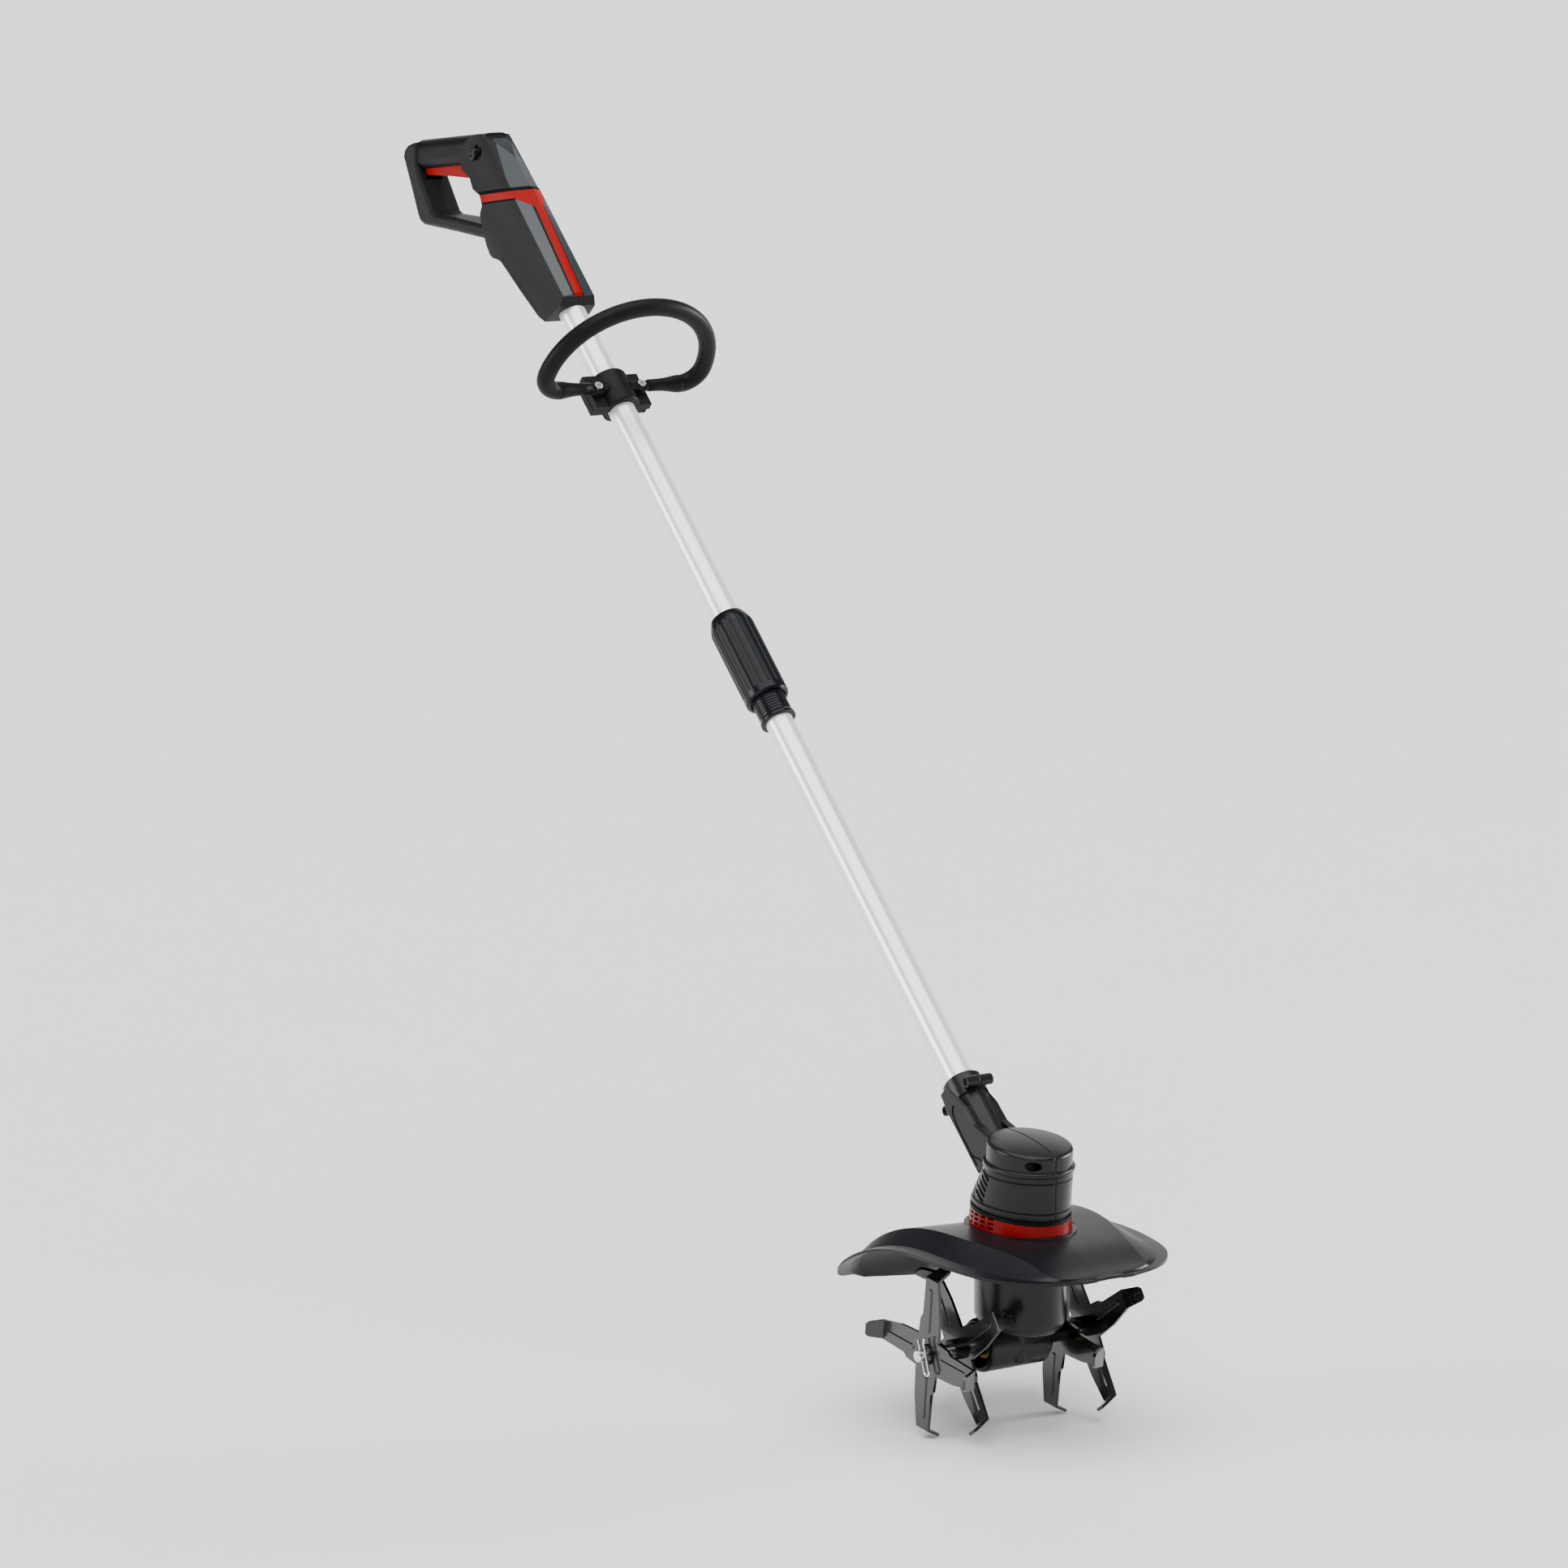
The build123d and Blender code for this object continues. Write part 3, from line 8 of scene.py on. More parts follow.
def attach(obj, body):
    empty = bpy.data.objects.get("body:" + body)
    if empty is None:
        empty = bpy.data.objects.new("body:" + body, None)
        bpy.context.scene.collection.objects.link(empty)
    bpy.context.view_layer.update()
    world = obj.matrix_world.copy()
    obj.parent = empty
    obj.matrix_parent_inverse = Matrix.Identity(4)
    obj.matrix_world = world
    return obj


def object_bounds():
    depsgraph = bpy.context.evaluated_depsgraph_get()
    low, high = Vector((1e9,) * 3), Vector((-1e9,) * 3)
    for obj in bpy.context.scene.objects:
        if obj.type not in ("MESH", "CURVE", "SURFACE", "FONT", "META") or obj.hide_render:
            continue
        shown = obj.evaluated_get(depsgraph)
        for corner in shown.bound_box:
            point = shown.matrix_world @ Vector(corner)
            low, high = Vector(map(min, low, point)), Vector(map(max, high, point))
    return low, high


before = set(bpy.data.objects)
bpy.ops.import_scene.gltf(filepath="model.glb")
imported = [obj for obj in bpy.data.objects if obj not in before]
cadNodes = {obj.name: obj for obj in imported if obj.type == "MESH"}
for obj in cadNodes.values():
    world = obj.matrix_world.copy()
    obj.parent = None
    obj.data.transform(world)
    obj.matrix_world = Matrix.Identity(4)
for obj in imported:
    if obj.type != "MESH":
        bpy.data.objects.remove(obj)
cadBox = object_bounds()
print("frame loaded with", len(cadNodes), "nodes")

# leans in degrees and places in metres, as in the part
partPlaces = {
    "poleLean": 46, "poleFoot": (0, -0.1656, 0), "handleAlong": 1.326,
    "headLean": 4.5, "head": (0, -0.019, 0.1374),
    "ringLean": 37.8, "ringAlong": 0.145, "ringOut": 0.023,
}
poleLean = math.radians(partPlaces["poleLean"])
headLean = math.radians(partPlaces["headLean"])
ringLean = math.radians(partPlaces["ringLean"])
sideways = Vector((1, 0, 0))
rearward = Vector((0, 1, 0))
upward = Vector((0, 0, 1))
upPole = Vector((0, math.sin(poleLean), math.cos(poleLean)))
offPole = Vector((0, -math.cos(poleLean), math.sin(poleLean)))
poleFoot = Vector(partPlaces["poleFoot"])
handleBase = poleFoot + upPole * partPlaces["handleAlong"]
headUp = Vector((0, -math.sin(headLean), math.cos(headLean)))
headBack = Vector((0, math.cos(headLean), math.sin(headLean)))
headAt = Vector(partPlaces["head"])
ringUp = offPole * math.sin(ringLean) + upPole * math.cos(ringLean)
ringAt = handleBase + upPole * partPlaces["ringAlong"] + offPole * partPlaces["ringOut"]

noiseLook = {"cloudDetail": 4, "grainDetail": 2, "middle": 0.5}


def plug(tree, slot, value):
    if isinstance(value, Wire):
        tree.links.new(value.socket, slot)
    else:
        slot.default_value = value


def addNode(tree, kind, settings, values, out=0):
    made = tree.nodes.new(kind)
    for key, value in settings.items():
        setattr(made, key, value)
    for key, value in values.items():
        plug(tree, made.inputs[key], value)
    return Wire(tree, made.outputs[out])


class Wire:
    # a shader socket that takes part in sums
    def __init__(self, tree, socket):
        self.tree = tree
        self.socket = socket

    def math(self, operation, *values):
        return addNode(self.tree, "ShaderNodeMath", {"operation": operation}, dict(enumerate(values)))

    def __add__(self, other):
        return self.math("ADD", self, other)

    def __radd__(self, other):
        return self.math("ADD", other, self)

    def __sub__(self, other):
        return self.math("SUBTRACT", self, other)

    def __rsub__(self, other):
        return self.math("SUBTRACT", other, self)

    def __mul__(self, other):
        return self.math("MULTIPLY", self, other)

    def __rmul__(self, other):
        return self.math("MULTIPLY", other, self)

    def __abs__(self):
        return self.math("ABSOLUTE", self)

    def atLeast(self, other):
        return self.math("MAXIMUM", self, other)

    def step(self, low, high):
        # 0 below low, 1 above high, smooth between
        settings = {"interpolation_type": "SMOOTHSTEP"}
        return addNode(self.tree, "ShaderNodeMapRange", settings, {0: self, 1: low, 2: high})

    def line(self, at, width, core=0.4):
        # 1 on a thin line where the value is near at, full over the core's share of its width
        return 1 - abs(self - at).step(width * core, width)

    def swing(self, share):
        # a noise turned into a change to both sides of a middle value
        return (self - noiseLook["middle"]) * share


class Finish:
    def __init__(self, name):
        self.material = bpy.data.materials.new(name)
        self.material.use_nodes = True
        self.tree = self.material.node_tree
        self.shader = self.tree.nodes["Principled BSDF"]
        self.place = self.node("ShaderNodeTexCoord", {}, {}, "Object")

    def node(self, kind, settings, values, out=0):
        return addNode(self.tree, kind, settings, values, out)

    def along(self, direction, origin=Vector((0, 0, 0))):
        # distance of a surface point along a direction, in metres
        values = {0: self.place, 1: direction}
        dot = self.node("ShaderNodeVectorMath", {"operation": "DOT_PRODUCT"}, values, "Value")
        return dot - direction.dot(origin)

    def noise(self, scale, detail, place=None):
        values = {"Vector": place or self.place, "Scale": scale, "Detail": detail}
        return self.node("ShaderNodeTexNoise", {}, values)

    def cloud(self, scale):
        return self.noise(scale, noiseLook["cloudDetail"])

    def grain(self, scale):
        return self.noise(scale, noiseLook["grainDetail"])

    def blend(self, factor, first, second):
        # 6, 7 and 2 are the colour sockets of the node
        values = {"Factor": factor, 6: self.colour(first), 7: self.colour(second)}
        return self.node("ShaderNodeMix", {"data_type": "RGBA"}, values, 2)

    def colour(self, value):
        return value if isinstance(value, Wire) else (*value, 1.0)

    def set(self, **values):
        for key, value in values.items():
            plug(self.tree, self.shader.inputs[key.replace("_", " ")], value)
        return self

    def bump(self, height, distance, strength):
        values = {"Height": height, "Distance": distance, "Strength": strength}
        return self.set(Normal=self.node("ShaderNodeBump", {}, values, "Normal"))


# handle: textured sides, smoother facets beside the stripe whose lighter, bluer colour is a painted reflection,
# painted shadow in the joints around the trim, dark lines beside the stripe and on the middle plane
handleLook = {
    "dark": (0.0078, 0.0080, 0.0084), "light": (0.0108, 0.0110, 0.0115), "cloud": 38,
    # facet colour: lighter and bluer than the sides, a painted reflection
    "facetWithPaintedReflection": (0.016, 0.022, 0.026), "facetOut": 0.0219, "facetLean": 0.0075, "facetEdge": 0.0004,
    "panelWide": 0.0188, "panelFrom": 0.15, "panelTaper": 0.13, "panelEdge": 0.0005,
    "panelTop": 0.182, "topEdge": 0.0006, "headFrom": (0.009, 0.0095), "bodyEnd": (0.186, 0.190),
    "shadow": (0.001, 0.001, 0.001), "shade": 0.9, "ringEdges": (-0.0003, 0.0103), "joint": 0.0022,
    "groove": 0.0053, "seam": 0.0006, "lineDeep": 0.0005,
    "rough": 0.46, "roughSwing": 0.12, "facetSmooth": 0.14, "lineRough": 0.4, "gloss": 0.12,
    "sheen": 0.72, "sheenRough": 0.34, "headDull": 0.45,
    "grain": 2200, "depth": 0.00007, "facetFine": 0.8, "bump": 0.8,
}


def handlePlastic(look):
    made = Finish("handlePlastic")
    along = made.along(upPole, handleBase)
    out = made.along(offPole, handleBase)
    high = made.along(upward, handleBase)
    across = abs(made.along(sideways))
    ring = made.along(ringUp, ringAt)
    body = 1 - made.along(rearward, handleBase).step(*look["bodyEnd"])
    inHead = ring.step(*look["headFrom"])
    taper = (along - look["panelFrom"]).atLeast(0) * look["panelTaper"]
    narrow = 1 - (across - look["panelWide"] + taper).step(0, look["panelEdge"])
    below = 1 - (high - look["panelTop"]).step(0, look["topEdge"])
    facetWithPaintedReflection = (out - look["facetOut"] - along * look["facetLean"]).step(0, look["facetEdge"])
    facetWithPaintedReflection = facetWithPaintedReflection * (1 - inHead * (1 - narrow)) * below
    lowEdge, topEdge = look["ringEdges"]
    # painted shadow: dark lines along the ring's lower and upper edges, where the gaps around the trim are shaded
    joint = ring.line(lowEdge, look["joint"]).atLeast(ring.line(topEdge, look["joint"])) * body
    groove = across.line(look["groove"], look["joint"]) * facetWithPaintedReflection * (1 - inHead)
    seam = across.line(0, look["seam"]) * (1 - facetWithPaintedReflection)
    dark = joint.atLeast(groove).atLeast(seam)
    cloud = made.cloud(look["cloud"])
    base = made.blend(cloud, look["dark"], look["light"])
    # painted reflection: the facets take a lighter, bluer colour; their coat and lower roughness are their real
    # gloss
    base = made.blend(facetWithPaintedReflection, base, look["facetWithPaintedReflection"])
    base = made.blend(dark * look["shade"], base, look["shadow"])
    rough = look["rough"] - facetWithPaintedReflection * look["facetSmooth"] + cloud.swing(look["roughSwing"])
    made.set(
        Base_Color=base,
        Roughness=rough + dark * look["lineRough"],
        Specular_IOR_Level=look["gloss"],
        Coat_Weight=facetWithPaintedReflection * (1 - dark) * (1 - inHead * look["headDull"]) * look["sheen"],
        Coat_Roughness=look["sheenRough"],
    )
    fine = made.grain(look["grain"]) * (1 - facetWithPaintedReflection * look["facetFine"])
    fine = fine * (look["depth"] / look["lineDeep"])
    return made.bump(fine - dark, look["lineDeep"], look["bump"]).material


# motor housing: semi gloss with fine panel lines, a parting line, painted shade in a screw pocket at the front and
# painted shadow along its lower edge
housingLook = {
    "dark": (0.0075, 0.008, 0.009), "light": (0.0105, 0.011, 0.0125), "cloud": 30,
    "shadow": (0.001, 0.001, 0.001), "shade": 0.85, "seam": 0.0012, "lineDeep": 0.0006,
    "lowLine": 0.0045, "highLine": 0.0335, "underEdge": (0.0002, 0.0012),
    "pocketBack": -0.045, "pocketUp": 0.051, "pocketSize": 0.0045, "pocketEdge": 1.15, "pocketSide": (0.006, 0.008),
    "rough": 0.26, "roughSwing": 0.1, "pocketRough": 0.3, "lineRough": 0.5, "gloss": 0.20,
    "grain": 2600, "depth": 0.00003, "bump": 1.0,
}


def housingPlastic(look):
    made = Finish("housingPlastic")
    high = made.along(headUp, headAt)
    back = made.along(headBack, headAt)
    across = made.along(sideways)
    seam = across.line(0, look["seam"])
    rim = high.line(look["lowLine"], look["seam"]).atLeast(high.line(look["highLine"], look["seam"]))
    pocketUp = high - look["pocketUp"]
    pocketBack = back - look["pocketBack"]
    size = look["pocketSize"] ** 2
    # painted shade: a dark disc where the screw pocket's hollow is shaded
    pocketShade = 1 - (pocketUp * pocketUp + pocketBack * pocketBack).step(size, size * look["pocketEdge"])
    pocketShade = pocketShade * (-1 * across).step(*look["pocketSide"])
    # painted shadow: the housing's lowest millimetre darkened over the groove above the ring
    underShadow = 1 - high.step(*look["underEdge"])
    lines = seam.atLeast(rim)
    shade = (lines * look["shade"]).atLeast(pocketShade).atLeast(underShadow)
    cloud = made.cloud(look["cloud"])
    rough = look["rough"] + cloud.swing(look["roughSwing"]) + pocketShade * look["pocketRough"]
    made.set(
        Base_Color=made.blend(shade, made.blend(cloud, look["dark"], look["light"]), look["shadow"]),
        Roughness=rough + lines * look["lineRough"],
        Specular_IOR_Level=look["gloss"],
    )
    fine = made.grain(look["grain"]) * (look["depth"] / look["lineDeep"])
    return made.bump(fine - lines, look["lineDeep"], look["bump"]).material


# red trim of the handle, with painted shadow along its top edge in the gap under the head
redLook = {
    "dark": (0.24, 0.0004, 0.0006), "light": (0.29, 0.0006, 0.0008), "cloud": 34,
    "shadow": (0.001, 0.001, 0.001), "gapFrom": 0.0079, "gapEdge": 0.0004, "gapDeep": 3,
    "rough": 0.36, "roughSwing": 0.12, "gapRough": 0.3, "gloss": 0.08,
    "grain": 2400, "depth": 0.00003, "bump": 0.5,
}


def trimPlastic(look):
    made = Finish("trimPlastic")
    # painted shadow: the band's top edge darkened where the head overhangs it
    gapShadow = (made.along(ringUp, ringAt) - look["gapFrom"]).step(0, look["gapEdge"])
    cloud = made.cloud(look["cloud"])
    made.set(
        Base_Color=made.blend(gapShadow, made.blend(cloud, look["dark"], look["light"]), look["shadow"]),
        Roughness=look["rough"] + cloud.swing(look["roughSwing"]) + gapShadow * look["gapRough"],
        Specular_IOR_Level=look["gloss"],
    )
    return made.bump(made.grain(look["grain"]) - gapShadow * look["gapDeep"], look["depth"], look["bump"]).material


# glossy red ring, with painted shadow in black along its top, in the joint under the housing
ringLook = {
    "dark": (0.15, 0.0004, 0.0012), "light": (0.19, 0.0006, 0.0016), "cloud": 40,
    "shadow": (0.001, 0.001, 0.001), "joint": 0.0060, "jointEdge": (-0.0004, 0.0002),
    "rough": 0.26, "roughSwing": 0.1, "jointRough": 0.3, "gloss": 0.10,
    "grain": 2600, "depth": 0.00002, "bump": 0.5,
}


def ringPlastic(look):
    made = Finish("ringPlastic")
    # painted shadow: the ring's top band is darkened where the housing above shades it
    joint = (made.along(headUp, headAt) + look["joint"]).step(*look["jointEdge"])
    cloud = made.cloud(look["cloud"])
    made.set(
        Base_Color=made.blend(joint, made.blend(cloud, look["dark"], look["light"]), look["shadow"]),
        Roughness=look["rough"] + cloud.swing(look["roughSwing"]) + joint * look["jointRough"],
        Specular_IOR_Level=look["gloss"],
    )
    return made.bump(made.grain(look["grain"]), look["depth"], look["bump"]).material


# plain mouldings and soft covers: what they share, then each one's own
plainLook = {
    "cloud": 34, "roughSwing": 0.12, "bump": 0.5,
    "dust": 9, "dustDetail": 5, "dustEdge": (0.55, 0.8), "dustRough": 0.05,
}
guardLook = {
    "dark": (0.005, 0.0053, 0.0068), "light": (0.007, 0.0074, 0.0092),
    "rough": 0.33, "gloss": 0.20, "grain": 2100, "depth": 0.00005,
}
blackLook = {
    "dark": (0.006, 0.006, 0.0065), "light": (0.0085, 0.0085, 0.009),
    "rough": 0.40, "gloss": 0.10, "grain": 2300, "depth": 0.00005,
}
nutLook = {
    "dark": (0.0035, 0.004, 0.0055), "light": (0.005, 0.0057, 0.0075),
    "rough": 0.24, "gloss": 0.16, "grain": 2300, "depth": 0.00003,
}
caseLook = {
    "dark": (0.005, 0.005, 0.0055), "light": (0.007, 0.007, 0.0075),
    "rough": 0.28, "gloss": 0.24, "grain": 2600, "depth": 0.00003,
}
rubberLook = {
    "dark": (0.0048, 0.0043, 0.0041), "light": (0.0068, 0.0062, 0.0060),
    "rough": 0.44, "gloss": 0.10, "grain": 1500, "depth": 0.00010,
}
innerLook = {
    "dark": (0.06, 0.06, 0.065), "light": (0.09, 0.09, 0.095),
    "rough": 0.5, "gloss": 0.35, "grain": 2000, "depth": 0.00004,
}


def plainPlastic(name, look):
    made = Finish(name)
    cloud = made.cloud(plainLook["cloud"])
    dust = made.noise(plainLook["dust"], plainLook["dustDetail"]).step(*plainLook["dustEdge"])
    made.set(
        Base_Color=made.blend(cloud, look["dark"], look["light"]),
        Roughness=look["rough"] + cloud.swing(plainLook["roughSwing"]) + dust * plainLook["dustRough"],
        Specular_IOR_Level=look["gloss"],
    )
    return made.bump(made.grain(look["grain"]), look["depth"], plainLook["bump"]).material


# drawn tube: long streaks along the pole
tubeLook = {
    "dark": (0.84, 0.84, 0.85), "light": (0.94, 0.94, 0.95), "metal": 0.45,
    "streakThin": 900, "streakLong": 9, "streakScale": 1, "streakDetail": 4, "streakSwing": 0.16, "rough": 0.30,
    "cloud": 18, "cloudDetail": 3, "cloudSwing": 0.08, "depth": 0.00003, "bump": 0.5,
}


def brushedTube(look):
    made = Finish("brushedTube")
    streakPlace = made.node("ShaderNodeCombineXYZ", {}, {
        "X": made.along(sideways) * look["streakThin"],
        "Y": made.along(offPole, poleFoot) * look["streakThin"],
        "Z": made.along(upPole, poleFoot) * look["streakLong"],
    })
    streak = made.noise(look["streakScale"], look["streakDetail"], streakPlace)
    cloud = made.noise(look["cloud"], look["cloudDetail"])
    made.set(
        Base_Color=made.blend(streak, look["dark"], look["light"]),
        Metallic=look["metal"],
        Roughness=look["rough"] + streak.swing(look["streakSwing"]) + cloud.swing(look["cloudSwing"]),
    )
    return made.bump(streak, look["depth"], look["bump"]).material


# bare metals: what they share, then each one's own
metalLook = {"cloud": 120, "roughSwing": 0.2, "grain": 1800, "depth": 0.00003, "bump": 0.4}
zincLook = {"dark": (0.62, 0.63, 0.65), "light": (0.80, 0.81, 0.82), "rough": 0.24}
steelLook = {"dark": (0.40, 0.40, 0.42), "light": (0.52, 0.52, 0.54), "rough": 0.38}
bronzeLook = {"dark": (0.42, 0.27, 0.10), "light": (0.55, 0.37, 0.16), "rough": 0.42}


def metal(name, look):
    made = Finish(name)
    cloud = made.cloud(metalLook["cloud"])
    made.set(
        Base_Color=made.blend(cloud, look["dark"], look["light"]),
        Metallic=1.0,
        Roughness=look["rough"] + cloud.swing(metalLook["roughSwing"]),
    )
    return made.bump(made.grain(metalLook["grain"]), metalLook["depth"], metalLook["bump"]).material


# thick black coating of the tines, duller and slightly scuffed towards the tips
tineLook = {
    "dark": (0.003, 0.003, 0.0035), "light": (0.005, 0.005, 0.0055), "cloud": 60,
    "scuff": (0.03, 0.027, 0.025), "scuffFrom": (0.06, 0.088), "scuffSize": 260, "scuffDetail": 5,
    "scuffEdge": (0.52, 0.66), "scuffShare": 0.5, "scuffRough": 0.2,
    "rough": 0.22, "roughSwing": 0.1, "coat": 0.35, "peel": 700, "peelDetail": 1, "depth": 0.00008, "bump": 0.5,
}


def tinePaint(look):
    made = Finish("tinePaint")
    flat = made.node("ShaderNodeVectorMath", {"operation": "MULTIPLY"}, {0: made.place, 1: (0, 1, 1)})
    reach = made.node("ShaderNodeVectorMath", {"operation": "LENGTH"}, {0: flat}, "Value")
    patches = made.noise(look["scuffSize"], look["scuffDetail"]).step(*look["scuffEdge"])
    worn = reach.step(*look["scuffFrom"]) * patches
    cloud = made.cloud(look["cloud"])
    paint = made.blend(cloud, look["dark"], look["light"])
    made.set(
        Base_Color=made.blend(worn * look["scuffShare"], paint, look["scuff"]),
        Roughness=look["rough"] + worn * look["scuffRough"] + cloud.swing(look["roughSwing"]),
        Coat_Weight=look["coat"],
    )
    return made.bump(made.noise(look["peel"], look["peelDetail"]), look["depth"], look["bump"]).material


finishes = {
    handlePlastic(handleLook): ["handle_shell_left", "handle_shell_right"],
    housingPlastic(housingLook): ["head_shell_left", "head_shell_right"],
    trimPlastic(redLook): ["ring_band", "stripe"],
    plainPlastic("redPlastic", redLook): ["trigger"],
    ringPlastic(ringLook): ["vent_ring"],
    plainPlastic("guardPlastic", guardLook): ["guard"],
    plainPlastic("blackPlastic", blackLook): ["loop_saddle", "loop_clamp", "battery", "battery_latch"],
    plainPlastic("nutPlastic", nutLook): ["union_nut", "coupling_neck", "coupling_spigot", "lock_button"],
    plainPlastic("gearCasePaint", caseLook): ["gear_case"],
    plainPlastic("softRubber", rubberLook): ["grip_sleeve", "loop_grip", "lower_cable", "upper_cable"],
    plainPlastic("innerPlastic", innerLook): [
        "switch", "switch_plunger", "lower_connector", "upper_connector", "contact_block", "controller", "fan",
        "thrust_ring",
    ],
    brushedTube(tubeLook): ["upper_tube", "lower_tube"],
    metal("zincPlate", zincLook): [
        "trigger_pin", "shell_screws", "clamp_screws", "clamp_nuts", "head_screws", "guard_screws", "hairpins",
        "axle",
    ],
    metal("motorSteel", steelLook): ["motor_plate", "motor_can", "rotor_shaft"],
    metal("bronze", bronzeLook): ["axle_bushes", "worm_wheel"],
    tinePaint(tineLook): ["tine_outer_right", "tine_inner_right", "tine_inner_left", "tine_outer_left"],
}
for material, names in finishes.items():
    for name in names:
        data = cadNodes[name].data
        data.materials.clear()
        data.materials.append(material)
print("finishes on", sum(len(names) for names in finishes.values()), "nodes")


def makeBothSides(form):
    bmesh.ops.mirror(form, geom=form.verts[:] + form.edges[:] + form.faces[:], axis="X", merge_dist=-1)
    bmesh.ops.recalc_face_normals(form, faces=form.faces)


def makePiece(name, form, material):
    mesh = bpy.data.meshes.new(name)
    form.to_mesh(mesh)
    form.free()
    mesh.materials.append(material)
    piece = bpy.data.objects.new(name, mesh)
    bpy.context.scene.collection.objects.link(piece)
    return piece


# dark sheets laid on the housing's sides in the shape of the slanted air slots, painted shade standing in for the
# slots' hollows
ventLook = {
    "rows": 5, "lowest": 0.0098, "spacing": 0.0056, "angle": 14, "length": 0.0190, "high": 0.0031, "rise": 20,
    "stretch": 1.12, "proud": 0.0002, "deep": 0.0006, "cells": (14, 4), "corner": 0.2, "cornerSteps": 3,
    # near black: the painted shade of the slots' hollows
    "dark": (0.0008, 0.0008, 0.0008), "light": (0.0012, 0.0012, 0.0012),
    "rough": 0.7, "gloss": 0.05, "grain": 2000, "depth": 0.00003,
}
# half width and half length at the wall's lower and upper edge, its shift to the rear and its height
housingWall = {"wide": (0.043, 0.0415), "long": (0.055, 0.043), "shift": -0.010, "tall": 0.039}


def onHousing(turn, high, proud):
    # point on the housing's outside at a turn from the side and a height over its lower edge
    share = high / housingWall["tall"]
    wide = housingWall["wide"][0] + (housingWall["wide"][1] - housingWall["wide"][0]) * share + proud
    long = housingWall["long"][0] + (housingWall["long"][1] - housingWall["long"][0]) * share + proud
    y = housingWall["shift"] * share + long * math.sin(turn)
    return headAt + sideways * wide * math.cos(turn) + headBack * y + headUp * high


def makeVentSlotShade(look):
    form = bmesh.new()
    rise = math.radians(look["rise"])
    for row in range(look["rows"]):
        slot = bmesh.new()
        columns, lines = look["cells"]
        bmesh.ops.create_grid(slot, x_segments=columns, y_segments=lines, size=0.5)
        corners = [vert for vert in slot.verts if len(vert.link_edges) == 2]
        bmesh.ops.bevel(
            slot, geom=corners, offset=look["corner"], offset_type="OFFSET", affect="VERTICES",
            segments=look["cornerSteps"], profile=0.5, material=-1,
        )
        middle = look["lowest"] + row * look["spacing"]
        for vert in slot.verts:
            run, over = vert.co.x * look["length"], vert.co.y * look["high"]
            high = middle + run * math.sin(rise) + over
            bend = run * math.cos(rise) / housingWall["long"][0] * look["stretch"]
            vert.co = onHousing(math.radians(look["angle"]) + bend, high, look["proud"])
        bmesh.ops.recalc_face_normals(slot, faces=slot.faces)
        if slot.faces[0].normal.x < 0:
            bmesh.ops.reverse_faces(slot, faces=slot.faces)
        bmesh.ops.solidify(slot, geom=slot.faces[:], thickness=look["deep"])
        part = bpy.data.meshes.new("slot")
        slot.to_mesh(part)
        slot.free()
        form.from_mesh(part)
        bpy.data.meshes.remove(part)
    makeBothSides(form)
    piece = makePiece("ventSlotShade", form, plainPlastic("slotShade", look))
    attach(piece, "machine")
    return piece


ventSlotShade = makeVentSlotShade(ventLook)
print("vent mouths made with", len(ventSlotShade.data.polygons), "faces")

# soft cuffs where the loop's ends run into the arms of its saddle: distance from the middle and radius
cuffLook = {
    "at": 1.213, "off": 0.0135,
    "profile": [
        (0.0745, 0), (0.0745, 0.0093), (0.0705, 0.00935), (0.0655, 0.0088), (0.0595, 0.0077), (0.0525, 0.0069),
        (0.0440, 0.0065), (0.0350, 0.0063), (0.0350, 0),
    ],
    "steps": 40, "merge": 0.00001,
}


def makeLoopCuffs(look):
    centre = poleFoot + upPole * look["at"] + offPole * look["off"]
    form = bmesh.new()
    verts = [form.verts.new(centre + sideways * x + upPole * radius) for x, radius in look["profile"]]
    edges = [form.edges.new(pair) for pair in zip(verts, verts[1:])]
    bmesh.ops.spin(
        form, geom=verts + edges, cent=centre, axis=sideways, angle=math.radians(360), steps=look["steps"],
        use_merge=True,
    )
    bmesh.ops.remove_doubles(form, verts=form.verts, dist=look["merge"])
    makeBothSides(form)
    for face in form.faces:
        face.smooth = True
    piece = makePiece("loopCuffs", form, bpy.data.materials["softRubber"])
    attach(piece, "loop_handle")
    return piece


loopCuffs = makeLoopCuffs(cuffLook)
print("loop cuffs made with", len(loopCuffs.data.polygons), "faces")

# camera at the photograph's place
cameraLook = {
    "lens": 122.72, "sensor": 36, "reach": 400,
    "place": (-2.8733, -3.9954, 1.3522), "azimuth": -33.25, "elevation": 9.44,
}
azimuth, elevation = math.radians(cameraLook["azimuth"]), math.radians(cameraLook["elevation"])
level = math.cos(elevation)
back = Vector((math.sin(azimuth) * level, -math.cos(azimuth) * level, math.sin(elevation)))
right = Vector((math.cos(azimuth), math.sin(azimuth), 0))
facing = Matrix((right, back.cross(right), back)).transposed()
cameraData = bpy.data.cameras.new("photoCamera")
cameraData.lens = cameraLook["lens"]
cameraData.sensor_width = cameraLook["sensor"]
cameraData.clip_end = cameraLook["reach"]
camera = bpy.data.objects.new("photoCamera", cameraData)
camera.matrix_world = Matrix.Translation(cameraLook["place"]) @ facing.to_4x4()
bpy.context.scene.collection.objects.link(camera)
bpy.context.scene.camera = camera
print("camera set")

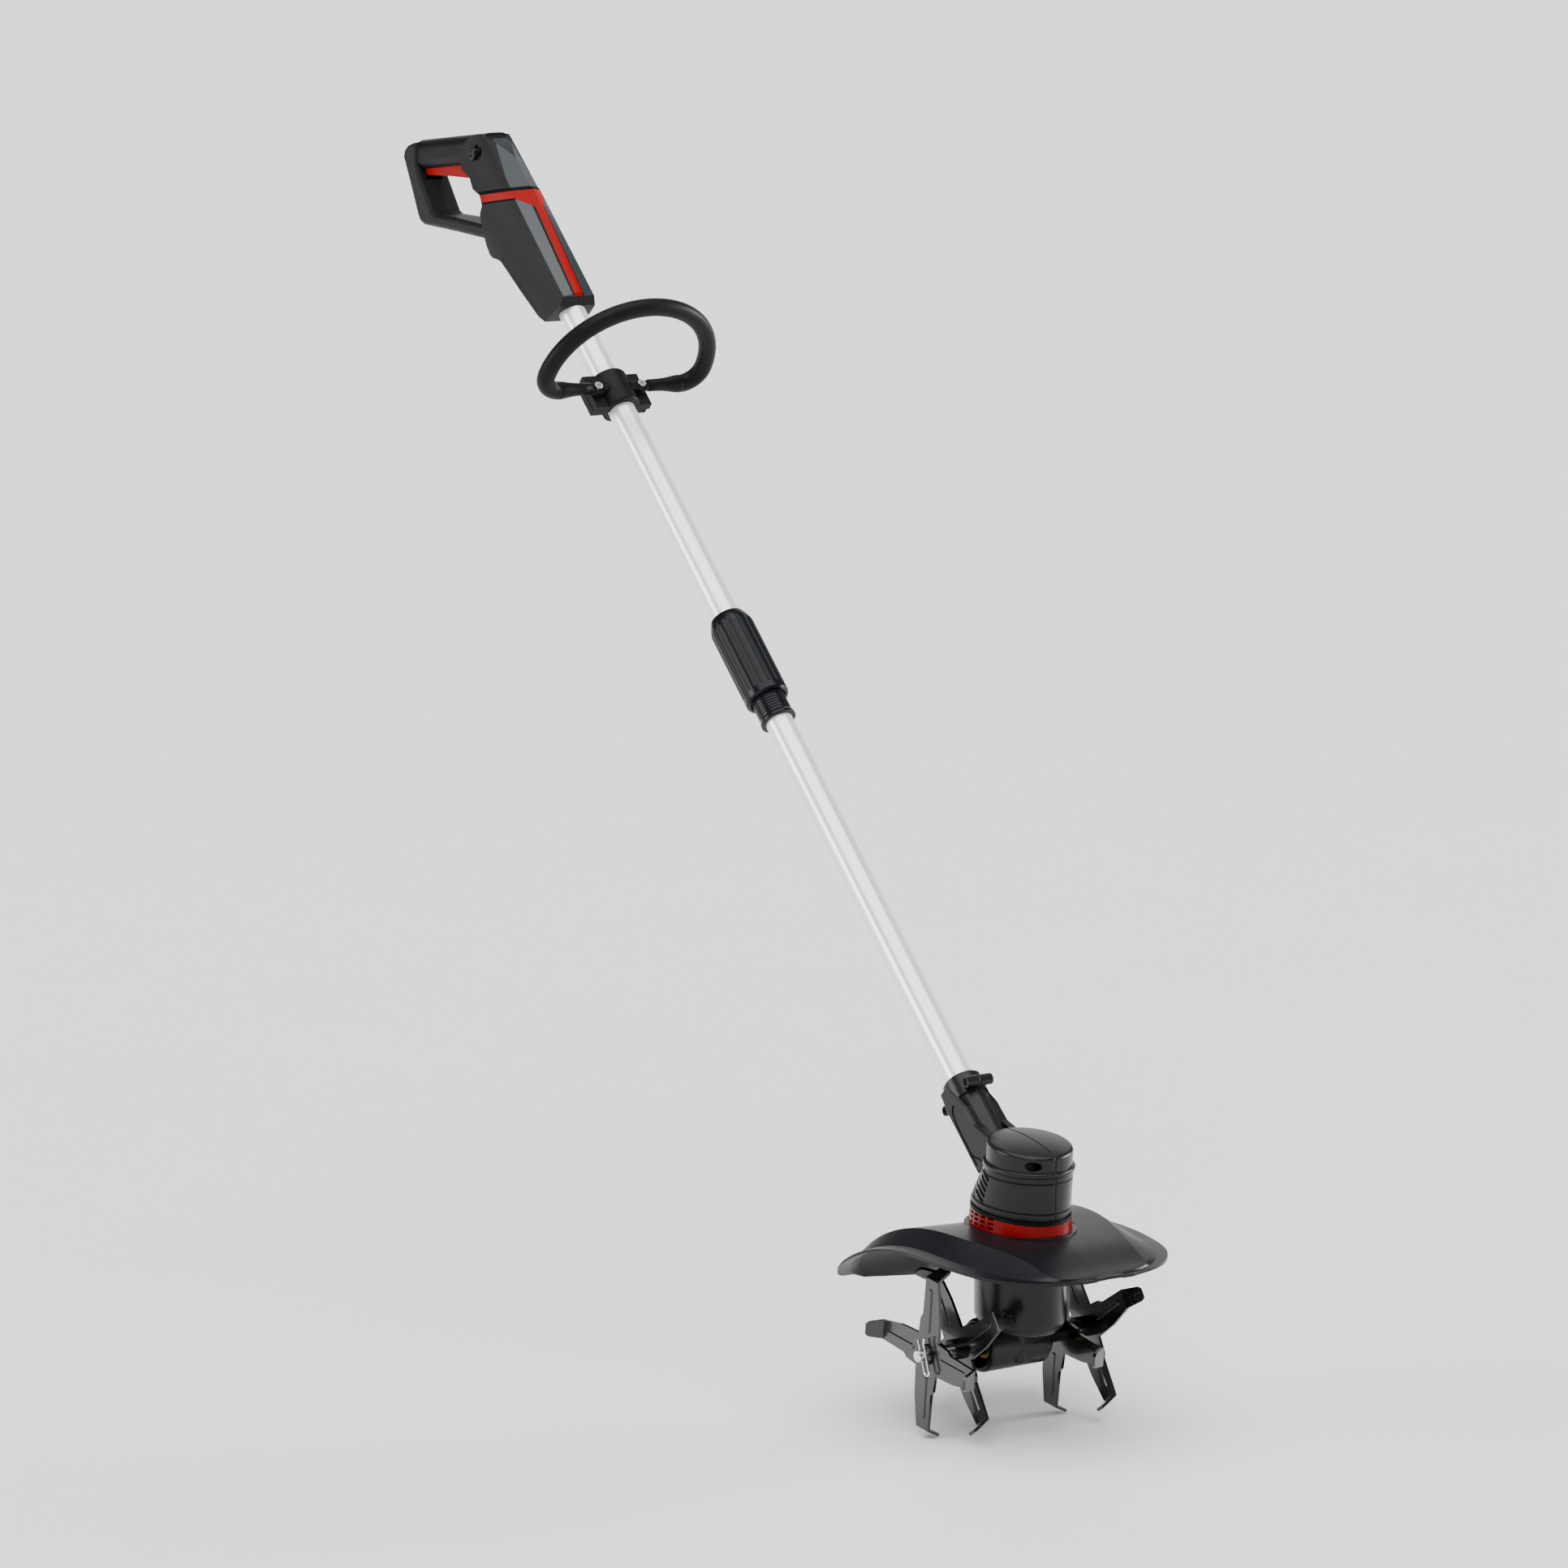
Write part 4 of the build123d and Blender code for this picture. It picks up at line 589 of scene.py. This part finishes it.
# floor just under the tines
floorLook = {
    "size": 150, "drop": 0.0005, "dark": (0.93, 0.93, 0.93), "light": (0.95, 0.95, 0.95), "grain": 3, "rough": 0.75,
}
floorFinish = Finish("paleFloor")
floorFinish.set(
    Base_Color=floorFinish.blend(floorFinish.grain(floorLook["grain"]), floorLook["dark"], floorLook["light"]),
    Roughness=floorLook["rough"],
)
sheet = bmesh.new()
bmesh.ops.create_grid(sheet, x_segments=1, y_segments=1, size=floorLook["size"])
bmesh.ops.translate(sheet, verts=sheet.verts, vec=(0, 0, cadBox[0].z - floorLook["drop"]))
floor = makePiece("floor", sheet, floorFinish.material)

# suns for even light on the floor, one box near the camera and a weak world
suns = {
    "ceiling": {"from": (-0.17, -0.24, 0.96), "power": 4.6, "spread": 75},
    "backSun": {"from": (0.48, 0.80, 0.36), "power": 0.46, "spread": 44},
    "leftSun": {"from": (-0.90, 0.40, 0.17), "power": 1.9, "spread": 30},
    "rightSun": {"from": (0.95, -0.22, 0.12), "power": 5.0, "spread": 34},
}
keyLook = {"place": (-2.2, -3.0, 2.6), "aim": (0, 0.3, 0.45), "size": (1.6, 1.2), "power": 20}
worldLook = {"colour": (0.95, 0.96, 0.97, 1), "strength": 0.15}


def addLamp(name, kind, power):
    data = bpy.data.lights.new(name, kind)
    data.energy = power
    lamp = bpy.data.objects.new(name, data)
    bpy.context.scene.collection.objects.link(lamp)
    return lamp


for name, look in suns.items():
    sun = addLamp(name, "SUN", look["power"])
    sun.data.angle = math.radians(look["spread"])
    sun.rotation_euler = Vector(look["from"]).to_track_quat("Z", "Y").to_euler()

keyBox = addLamp("keyBox", "AREA", keyLook["power"])
keyBox.data.shape = "RECTANGLE"
keyBox.data.size, keyBox.data.size_y = keyLook["size"]
keyBox.location = keyLook["place"]
keyBox.visible_camera = False
aim = Vector(keyLook["aim"]) - keyBox.location
keyBox.rotation_euler = aim.to_track_quat("-Z", "Y").to_euler()

world = bpy.data.worlds.new("studio")
world.use_nodes = True
background = world.node_tree.nodes["Background"]
background.inputs["Color"].default_value = worldLook["colour"]
background.inputs["Strength"].default_value = worldLook["strength"]
bpy.context.scene.world = world
print("studio set")
